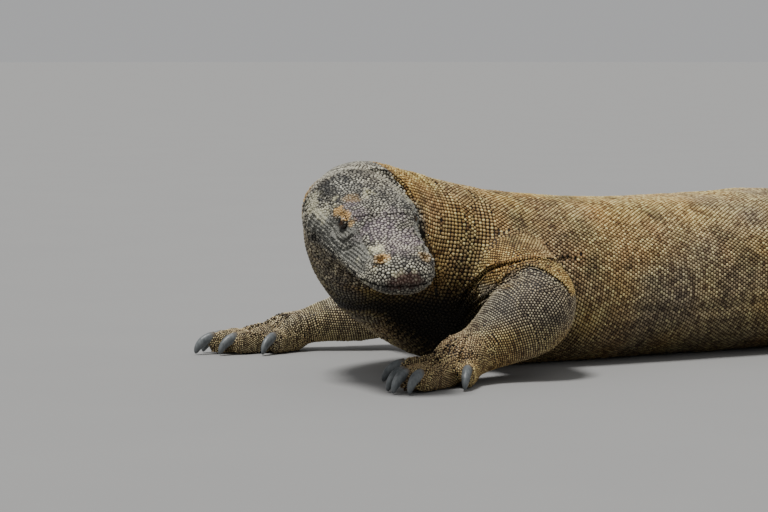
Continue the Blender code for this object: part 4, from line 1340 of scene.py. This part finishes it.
def opening_shade(points):
    """Painted shade, as above, in the mouth and its corner, at the rims of eyes and nostrils, in
    the crown's pit and round the left eye.
    """
    head = in_head(points)
    back_, left, up = to_head(points).T
    over = (up - mouth_height(back_)) * HEAD_LENGTH
    gape = bell(over, 0.0016) * ease(back_, 0.75, 0.70)
    corner = bell(back_ - MOUTH_CORNER, 0.075) * bell(over + 0.002, 0.012)
    corner *= ease(abs(left), 0.15, 0.24)
    deep = np.maximum(0.9 * gape * head, 0.70 * corner * head)
    for side in (-1, 1):
        eye_far = np.linalg.norm(points - eye_centre(side), axis=1)
        below = ease((points - eye_centre(side)) @ HEAD_UP, 0.002, -0.004)
        deep = np.maximum(deep, 0.65 * bell(eye_far - 0.009, 0.005) * below)
        nostril_far = np.linalg.norm(points - nostril_centre(side), axis=1)
        deep = np.maximum(deep, 0.97 * ease(nostril_far, 0.0056, 0.0042))
    pit = np.linalg.norm(points - from_head(CROWN_PIT), axis=1)
    left_eye = np.linalg.norm(points - eye_centre(1), axis=1)
    return np.maximum(deep, np.maximum(0.95 * bell(pit, 0.0022), 0.55 * bell(left_eye, 0.012)))


# %% All the markings together
def patches(points, fine, patchy):
    """For each marking in the list, its strength inside a ragged ball round each listed place."""
    back_, left, up = to_head(points).T
    found = {key: np.zeros(len(points)) for key in ("tan", "cream", "rosy_sheen", "lip", "slate")}
    for key, b, l, u, reach, strength in HEAD_PATCHES:
        far_ = np.sqrt((back_ - b) ** 2 + (left - l) ** 2 + (up - u) ** 2)
        speckle = 0.90 if key == "cream" else 0.45
        ragged = far_ / reach + 0.40 * fine + 0.25 * patchy + speckle * noise(points, 0.0045, 24)
        found[key] = np.maximum(found[key], strength * ease(ragged, 1.25, 0.65))
    return found


def markings(points, normals):
    """How warm, pale and sleek the hide is at each point, where its patches lie, and how dark it
    is, which is mostly painted shade.
    """
    x, y, z = points.T
    _, over, _ = from_trunk(points)
    back_, _, up = to_head(points).T
    head, grey, limb = in_head(points), grey_part(points), limb_part(points)
    foot = limb * ease(z, 0.080, 0.050)
    far_arm = limb * ease(y, 0.05, 0.12) * ease(x, -0.10, -0.18)
    broad, patchy = noise(points, 0.16, 21), noise(points, 0.045, 22)
    fine = noise(points, 0.014, 23)
    warm = np.interp(x, (-0.42, -0.10, 0.10, 0.45, 0.80, 1.68), (1.0, 0.92, 0.70, 0.50, 0.40, 0.30))
    warm = warm + 0.25 * broad + 0.25 * patchy
    warm = warm * (1 - limb) + limb * (0.30 + 0.20 * patchy + 0.10 * broad + 0.40 * foot)
    warm = warm - 0.20 * far_arm
    chin = ease(up, -0.05, -0.14) * (0.45 + 0.55 * ease(back_, 0.70, 0.45))
    warm = warm * (1 - grey) + grey * (0.06 + 0.45 * chin + 0.10 * patchy)
    pale = 0.52 + 0.22 * patchy + 0.20 * fine + 0.10 * broad
    pale = pale - 0.10 * limb + 0.15 * foot + 0.75 * far_arm + grey * (0.02 - 0.18 * chin)
    pale = pale + 0.30 * grey * noise(points, 0.022, 26)
    # Painted shade: the hide turns darker where it faces down, less so on the feet.
    under = ease(-normals[:, 2], 0.05, 0.80)
    # Painted shade, nearly black, low on the chest and under the neck, below the head; it stays
    # dark in any light.
    chest = ease(x, -0.16, -0.26) * ease(z, 0.145, 0.085) * (1 - limb) * (1 - head)
    blots = 0.45 * ease(noise(points, 0.030, 25) + 0.5 * fine, 0.15, 0.85) * (1 - 0.7 * limb)
    bands = 0.40 * far_arm * ease(np.cos(2 * np.pi * x / 0.019 + 2 * patchy), 0.3, 1)
    # Painted shade under the body: the belly is darker at about half strength.
    belly = 0.55 * ease(-over, 0.35, 0.95) * (1 - limb) * (1 - head)
    dark = [0.60 * under * (1 - 0.6 * foot), chest, blots, bands, belly,
            crease_shade(points), opening_shade(points)]
    # Painted shade in the troughs between the ridges round each wrist.
    for leg in LEGS:
        dark.append(0.55 * ease(-wrist_ribs(points, leg), 0.25, 0.85) * (1 - head))
    found = patches(points, fine, patchy)
    slate = found.pop("slate")
    # deep is mostly painted shade, with the hide's own dark blots, bands and slate patches in it.
    found["deep"] = np.maximum(np.max(dark, axis=0), 0.50 * slate)
    found["pale"] = pale - 0.45 * slate
    found["warm"] = warm
    found["sleek"] = cheek_part(points) * (0.85 + 0.3 * fine)
    return {key: np.clip(value, 0, 1) for key, value in found.items()}


# %% Share the roots out among the pieces
head_place = to_head(roots["place"])
tube_of = np.array(TUBE_NAMES)[roots["tube"]]
share = roots["spot"][:, 1]
row_key = roots["tube"] * 1000 + roots["spot"][:, 2].astype(int)
luck = dice.random(len(share))
row_luck = dice.random(int(row_key.max()) + 1)[row_key]
row_luck[tube_of == "head"] = luck[tube_of == "head"]
marks = markings(roots["place"], roots["normal"])

mouth = mouth_height(head_place[:, 0])
of_head = tube_of == "head"
PARTS = {
    "scales_crown": of_head & (head_place[:, 2] > 0.10),
    "scales_face": of_head & (head_place[:, 2] <= 0.10) & (head_place[:, 2] > mouth),
    "scales_jaw": of_head & (head_place[:, 2] <= mouth),
}
BODY_PARTS = (  # name, and the share of the body's length at which it starts and ends
    ("scales_neck", 0.0, 0.14), ("scales_chest", 0.14, 0.25), ("scales_trunk", 0.25, 0.34),
    ("scales_loin", 0.34, 0.45), ("scales_tail_base", 0.45, 0.66), ("scales_tail_end", 0.66, 1.01))
for name, start, end in BODY_PARTS:
    PARTS[name] = (tube_of == "body") & (share >= start) & (share < end)
for leg in LEGS:
    PARTS[f"scales_{leg}_leg"] = tube_of == leg
    PARTS[f"scales_{leg}_toes"] = np.char.startswith(tube_of, leg + "_")
print({name: int(chosen.sum()) for name, chosen in PARTS.items()})

# %% Unwrap: round the tube and down its length, with a strip for each tube of a piece
close = np.array([row_tree.find(spot)[1] for spot in roots["place"].tolist()])
shift = roots["place"] - rows["place"][close]
girth, span = rows["spot"][close, 3], rows["spot"][close, 4]
unwrap = np.stack([rows["spot"][close, 0] + (shift * across).sum(1) / girth,
                   rows["spot"][close, 1] + (shift * forward).sum(1) / span], 1)
back_, left, up = head_place[of_head].T
angle = np.arctan2(left, up) / (2 * np.pi) + 0.5
round_tip = 0.12 * np.minimum(np.hypot(left, up) / 0.1, 1)
unwrap[of_head] = np.stack([angle, (back_ + round_tip + 0.05) / 1.3], 1)
for name, start, end in BODY_PARTS:
    chosen = PARTS[name]
    unwrap[chosen, 1] = (unwrap[chosen, 1] - start) / (end - start)
for leg in LEGS:
    for digit in range(5):
        chosen = tube_of == f"{leg}_{digit}"
        unwrap[chosen, 0] = (digit + np.clip(unwrap[chosen, 0], 0.02, 0.98)) / 5
unwrap = np.clip(unwrap, 0.003, 0.997)

# %% Make the pieces
STYLE = {  # sides, height, crown, lean, and how much of its cell it fills along and across
    "head": (8, 0.46, 0.68, 0.04, (0.95, 0.95)), "body": (6, 0.52, 0.70, 0.12, (0.95, 0.97)),
    "tail": (5, 0.52, 0.68, 0.12, (0.92, 0.96)), "leg": (5, 0.46, 0.70, 0.16, (0.88, 0.98)),
    "digit": (5, 0.44, 0.70, 0.16, (0.88, 0.98)),
}
coat = {}
for name, chosen in PARTS.items():
    chosen = np.flatnonzero(chosen & shown)
    kind = "tail" if "tail" in name else kind_of(tube_of[chosen[0]])
    coat[name] = coat_piece(name, chosen, *STYLE[kind])
    coat[name]["kind"] = kind
total = sum(sum(len(p.vertices) - 2 for p in obj.data.polygons) for obj in coat.values())
print("coat pieces", len(coat), "scales", int(shown.sum()), "triangles", total)

# %% The skin's own numbers
normals = column(skin.data.vertex_normals, "vector", 3).astype(float)
for key, value in markings(skin_points, normals).items():
    put(skin.data, key, value)
lids = np.zeros(len(skin_points))
for side in (-1, 1):
    lids = np.maximum(lids, bell(np.linalg.norm(skin_points - eye_centre(side), axis=1), 0.0125))
put(skin.data, "height", 0.55 * lids)
put(skin.data, "chance", 0.5 + 0.5 * noise(skin_points, 0.002, 31))
put(skin.data, "row_chance", 0.5 + 0.5 * noise(skin_points, 0.004, 32))

# %% [markdown]
# ## Eyes and claws
# The eye is a ball with a slightly swollen, glossy front. A true eye has a clear shell over a
# flat iris, but so little of it shows between the lids that one painted ball is enough. The claw
# is a horn: an oval carried along an arc, thinning as it goes, with fine growth rings.


# %% Eyes
def eyeball(name, side):
    """Points at every angle from the way the eye looks; the front is 4% further out."""
    look, along, rise = eye_axes(side)
    polar = np.linspace(0, np.pi, 33)[1:-1]
    round_ = np.linspace(0, 2 * np.pi, 48, endpoint=False)
    out = EYE_RADIUS * (1 + 0.04 * bell(polar, 0.45))
    ring = np.cos(round_)[None, :, None] * along + np.sin(round_)[None, :, None] * rise
    rings = eye_centre(side) + out[:, None, None] * (np.cos(polar)[:, None, None] * look
                                                     + np.sin(polar)[:, None, None] * ring)
    obj = tube_object(name, [rings])
    flat = column(obj.data.vertices, "co", 3) - eye_centre(side)
    put(obj.data, "polar", np.arccos(np.clip(unit(flat) @ look, -1, 1)))
    return obj


eyes = {name: eyeball(name + "_ball", side) for name, side in (("eye_left", 1), ("eye_right", -1))}


# %% Claws
def claw_horn(name, leg, digit):
    """The claw's tube, finer, with ridges of 1% round it and a closed rounded tip."""
    rings = claw_rings(leg, digit, 26, 20)
    middle = rings.mean(1, keepdims=True)
    ridges = 1 + 0.012 * np.cos(np.linspace(0, 40, 26))[:, None, None]
    obj = tube_object(name, [middle + (rings - middle) * ridges])
    put(obj.data, "down", np.append(np.repeat(np.linspace(0, 1, 26), 20), (0, 1)))
    return obj


claws = {f"claw_{leg}_{digit + 1}": claw_horn(f"claw_{leg}_{digit + 1}_horn", leg, digit)
         for leg in LEGS for digit in range(5)}
print("claws", len(claws))

# %% [markdown]
# ## Finishes
# A material is a graph of nodes. Writing each node by hand is long, so a small class lets the
# graph be written as sums: a `Term` stands for one number in the graph, and adding or
# multiplying two of them adds the Math node that does it.


# %% Shader sums
def plug(socket, value):
    """Links a term or an output to the socket, or sets the socket to a number or colour."""
    if isinstance(value, Term):
        value = value.output
    if isinstance(value, bpy.types.NodeSocket):
        socket.id_data.links.new(value, socket)
    elif isinstance(value, tuple) and len(value) == 3 and socket.type == "RGBA":
        socket.default_value = (*value, 1)
    else:
        socket.default_value = value


class Term:
    """One number in a material's graph."""

    def __init__(self, output):
        self.output = output

    def maths(self, operation, other, swapped=False, clamp=False):
        """Adds a Math node on this number and the other, or on the other and this one."""
        node = self.output.id_data.nodes.new("ShaderNodeMath")
        node.operation = operation
        node.use_clamp = clamp
        for socket, value in zip(node.inputs, (other, self) if swapped else (self, other)):
            plug(socket, value)
        return Term(node.outputs[0])

    def __add__(self, other):
        return self.maths("ADD", other)

    def __sub__(self, other):
        return self.maths("SUBTRACT", other)

    def __rsub__(self, other):
        return self.maths("SUBTRACT", other, swapped=True)

    def __mul__(self, other):
        return self.maths("MULTIPLY", other)

    def held(self):
        """The same number, kept between 0 and 1."""
        return self.maths("ADD", 0.0, clamp=True)

    __radd__ = __add__
    __rmul__ = __mul__


class Finish:
    """A material: its Principled shader, and the ways to add to its graph."""

    def __init__(self, name, **constants):
        self.material = bpy.data.materials.new(name)
        self.material.use_nodes = True
        self.graph = self.material.node_tree
        self.shader = self.graph.nodes["Principled BSDF"]
        for key, value in constants.items():
            plug(self.shader.inputs[key.replace("_", " ")], value)

    def node(self, kind, settings=None, inputs=None, output=0):
        """Adds a node: its settings first, then values or links for its sockets."""
        made = self.graph.nodes.new("ShaderNode" + kind)
        for key, value in (settings or {}).items():
            setattr(made, key, value)
        for key, value in (inputs or {}).items():
            plug(made.inputs[key], value)
        return made.outputs[output]

    def number(self, name):
        """An attribute of the mesh."""
        return Term(self.node("Attribute", {"attribute_name": name}, output="Fac"))

    def cloud(self, scale, detail=2.0, stretch=(1, 1, 1)):
        """Noise in the object's own coordinates, from 0 to 1."""
        where = self.node("TexCoord", output="Object")
        where = self.node("Mapping", inputs={"Vector": where, "Scale": stretch})
        shape = {"Vector": where, "Scale": scale, "Detail": detail}
        return Term(self.node("TexNoise", inputs=shape))

    def mix(self, factor, a, b):
        """Colour a where the factor is 0 and b where it is 1."""
        made = self.graph.nodes.new("ShaderNodeMix")
        made.data_type = "RGBA"
        for socket, value in zip((made.inputs[0], made.inputs[6], made.inputs[7]), (factor, a, b)):
            plug(socket, value)
        return made.outputs[2]

    def bump(self, height, distance):
        """Raises the surface by the height, times the distance in metres, in the shading alone."""
        shape = {"Height": height, "Distance": distance, "Strength": 1.0}
        plug(self.shader.inputs["Normal"], self.node("Bump", inputs=shape))


# %% Hide
def hide_finish(name, roughness, slope):
    """A dark gap, which ends sooner with a steeper slope, a ground colour by warmth and lot, a
    paler crown, then patches, a rosy tint that is partly a painted sheen, and painted shade."""
    made = Finish(name, Specular_IOR_Level=0.32)
    high, chance, row = made.number("height"), made.number("chance"), made.number("row_chance")
    warm, pale, deep = made.number("warm"), made.number("pale"), made.number("deep")
    grain, mottle = made.cloud(1500, 2), made.cloud(110, 3)
    hue = (made.cloud(17, 4) * 3.0 - 1.0).held()
    lot = chance * 0.45 + row * 0.15 + mottle * 0.4
    gap = made.mix(warm, (0.010, 0.009, 0.009), (0.014, 0.007, 0.003))
    dull = made.mix(warm, (0.065, 0.064, 0.060), (0.175, 0.082, 0.014))
    sandy = made.mix(hue, (0.590, 0.275, 0.062), (0.540, 0.390, 0.105))
    lively = made.mix(warm, (0.240, 0.230, 0.195), sandy)
    ground = made.mix((lot * 2.2 - 0.6).held(), dull, lively)
    colour = made.mix((high * slope).held(), gap, ground)
    crown = made.mix(warm, (0.760, 0.745, 0.620), (0.810, 0.660, 0.270))
    bright = (pale * (lot * 2.7 - 0.50)).held() * ((high - 0.40) * 2.0).held()
    colour = made.mix(bright * (0.70 + 0.30 * grain), colour, crown)
    spark = ((chance - 0.86) * 25.0).held() * ((high - 0.45) * 2.0).held() * warm.held()
    colour = made.mix(spark * 0.75, colour, (0.850, 0.760, 0.360))
    lit = (0.20 + 0.80 * high).held()
    # A rosy tint on the snout's crowns, partly a painted sheen.
    colour = made.mix(made.number("rosy_sheen") * lit * 0.42, colour, (0.520, 0.400, 0.480))
    colour = made.mix(made.number("sleek") * 0.80, colour, (0.235, 0.236, 0.210))
    colour = made.mix(made.number("lip") * 0.88, colour, (0.075, 0.034, 0.024))
    tan = made.number("tan") * (0.35 + 0.65 * lit) * 0.95
    colour = made.mix(tan, colour, (0.800, 0.500, 0.180))
    cream = made.number("cream") * (0.40 + 0.60 * lit) * 0.95
    colour = made.mix(cream, colour, (0.860, 0.820, 0.560))
    # deep turns the colour nearly black: painted shade in folds, openings and under the body, and
    # the real dark blots, bands and slate.
    colour = made.mix(deep * 0.98, colour, (0.004, 0.003, 0.002))
    plug(made.shader.inputs["Base Color"], colour)
    plug(made.shader.inputs["Roughness"], (roughness + 0.18 * mottle - 0.10 * high).held())
    made.bump(grain + mottle * 0.6, 0.00025)
    return made.material


hides = {"head": hide_finish("head_hide", 0.46, 2.2), "body": hide_finish("body_hide", 0.52, 2.8),
         "tail": hide_finish("tail_hide", 0.52, 3.2), "leg": hide_finish("leg_hide", 0.54, 2.6),
         "digit": hide_finish("toe_hide", 0.54, 2.6)}


# %% Eye and horn
def eye_finish():
    """A black pupil, a brown streaked iris, and a dark ball outside them."""
    made = Finish("eye", IOR=1.4, Roughness=0.04)
    polar = made.number("polar")
    streak = made.cloud(900, 3)
    iris = made.mix((streak * 1.6 - 0.3).held(), (0.016, 0.008, 0.004), (0.075, 0.036, 0.012))
    pupil = ((0.36 - polar) * 25.0).held()
    outside = ((polar - 0.80) * 12.0).held()
    colour = made.mix(outside, iris, (0.020, 0.014, 0.010))
    colour = made.mix(pupil, colour, (0.002, 0.002, 0.002))
    plug(made.shader.inputs["Base Color"], colour)
    made.bump(streak, 0.00003)
    return made.material


def horn_finish():
    """Slate grey, paler along streaks and at the root, darker to the tip."""
    made = Finish("claw_horn", IOR=1.54)
    down = made.number("down")
    streak, speck = made.cloud(260, 4, (1, 1, 0.5)), made.cloud(1400, 2)
    colour = made.mix((streak * 1.5 - 0.3).held(), (0.060, 0.070, 0.076), (0.200, 0.215, 0.220))
    colour = made.mix(((down - 0.55) * 1.6).held() * 0.6, colour, (0.030, 0.034, 0.038))
    colour = made.mix(((0.16 - down) * 8.0).held() * 0.7, colour, (0.120, 0.085, 0.050))
    plug(made.shader.inputs["Base Color"], colour)
    plug(made.shader.inputs["Roughness"], 0.30 + 0.25 * speck)
    made.bump(streak + 0.4 * speck, 0.0002)
    return made.material


def floor_finish():
    """An even grey that wanders by a few hundredths, so that the floor isn't dead flat."""
    made = Finish("pale_floor", Roughness=0.8)
    grey = made.mix(made.cloud(4, 3), (0.29, 0.29, 0.29), (0.31, 0.31, 0.305))
    plug(made.shader.inputs["Base Color"], grey)
    return made.material


horn, eye_gloss = horn_finish(), eye_finish()
for obj in coat.values():
    obj.data.materials.append(hides[obj["kind"]])
skin.data.materials.append(hides["body"])
for obj in eyes.values():
    obj.data.materials.append(eye_gloss)
for obj in claws.values():
    obj.data.materials.append(horn)
print("materials", len(bpy.data.materials))

# %% [markdown]
# ## Floor
# A plain pale disc, so wide that its edge is far behind the animal. It belongs to the stage and
# isn't part of the model.

# %% Floor
turn = np.linspace(0, 2 * np.pi, 96, endpoint=False)
floor = new_object("floor", np.stack([0.5 + 50 * np.cos(turn), 50 * np.sin(turn), 0 * turn], 1),
                   [list(range(96))], smooth=False)
floor.data.materials.append(floor_finish())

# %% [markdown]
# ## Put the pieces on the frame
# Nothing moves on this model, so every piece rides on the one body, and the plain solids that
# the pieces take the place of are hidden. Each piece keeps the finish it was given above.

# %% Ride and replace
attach(skin, "root")
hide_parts(*(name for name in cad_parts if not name.startswith(("eye", "claw"))))
for name, obj in coat.items():
    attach(obj, "root")
for name, obj in eyes.items():
    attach(obj, "root")
    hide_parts(name)
for name, obj in claws.items():
    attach(obj, "root")
    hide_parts(name)
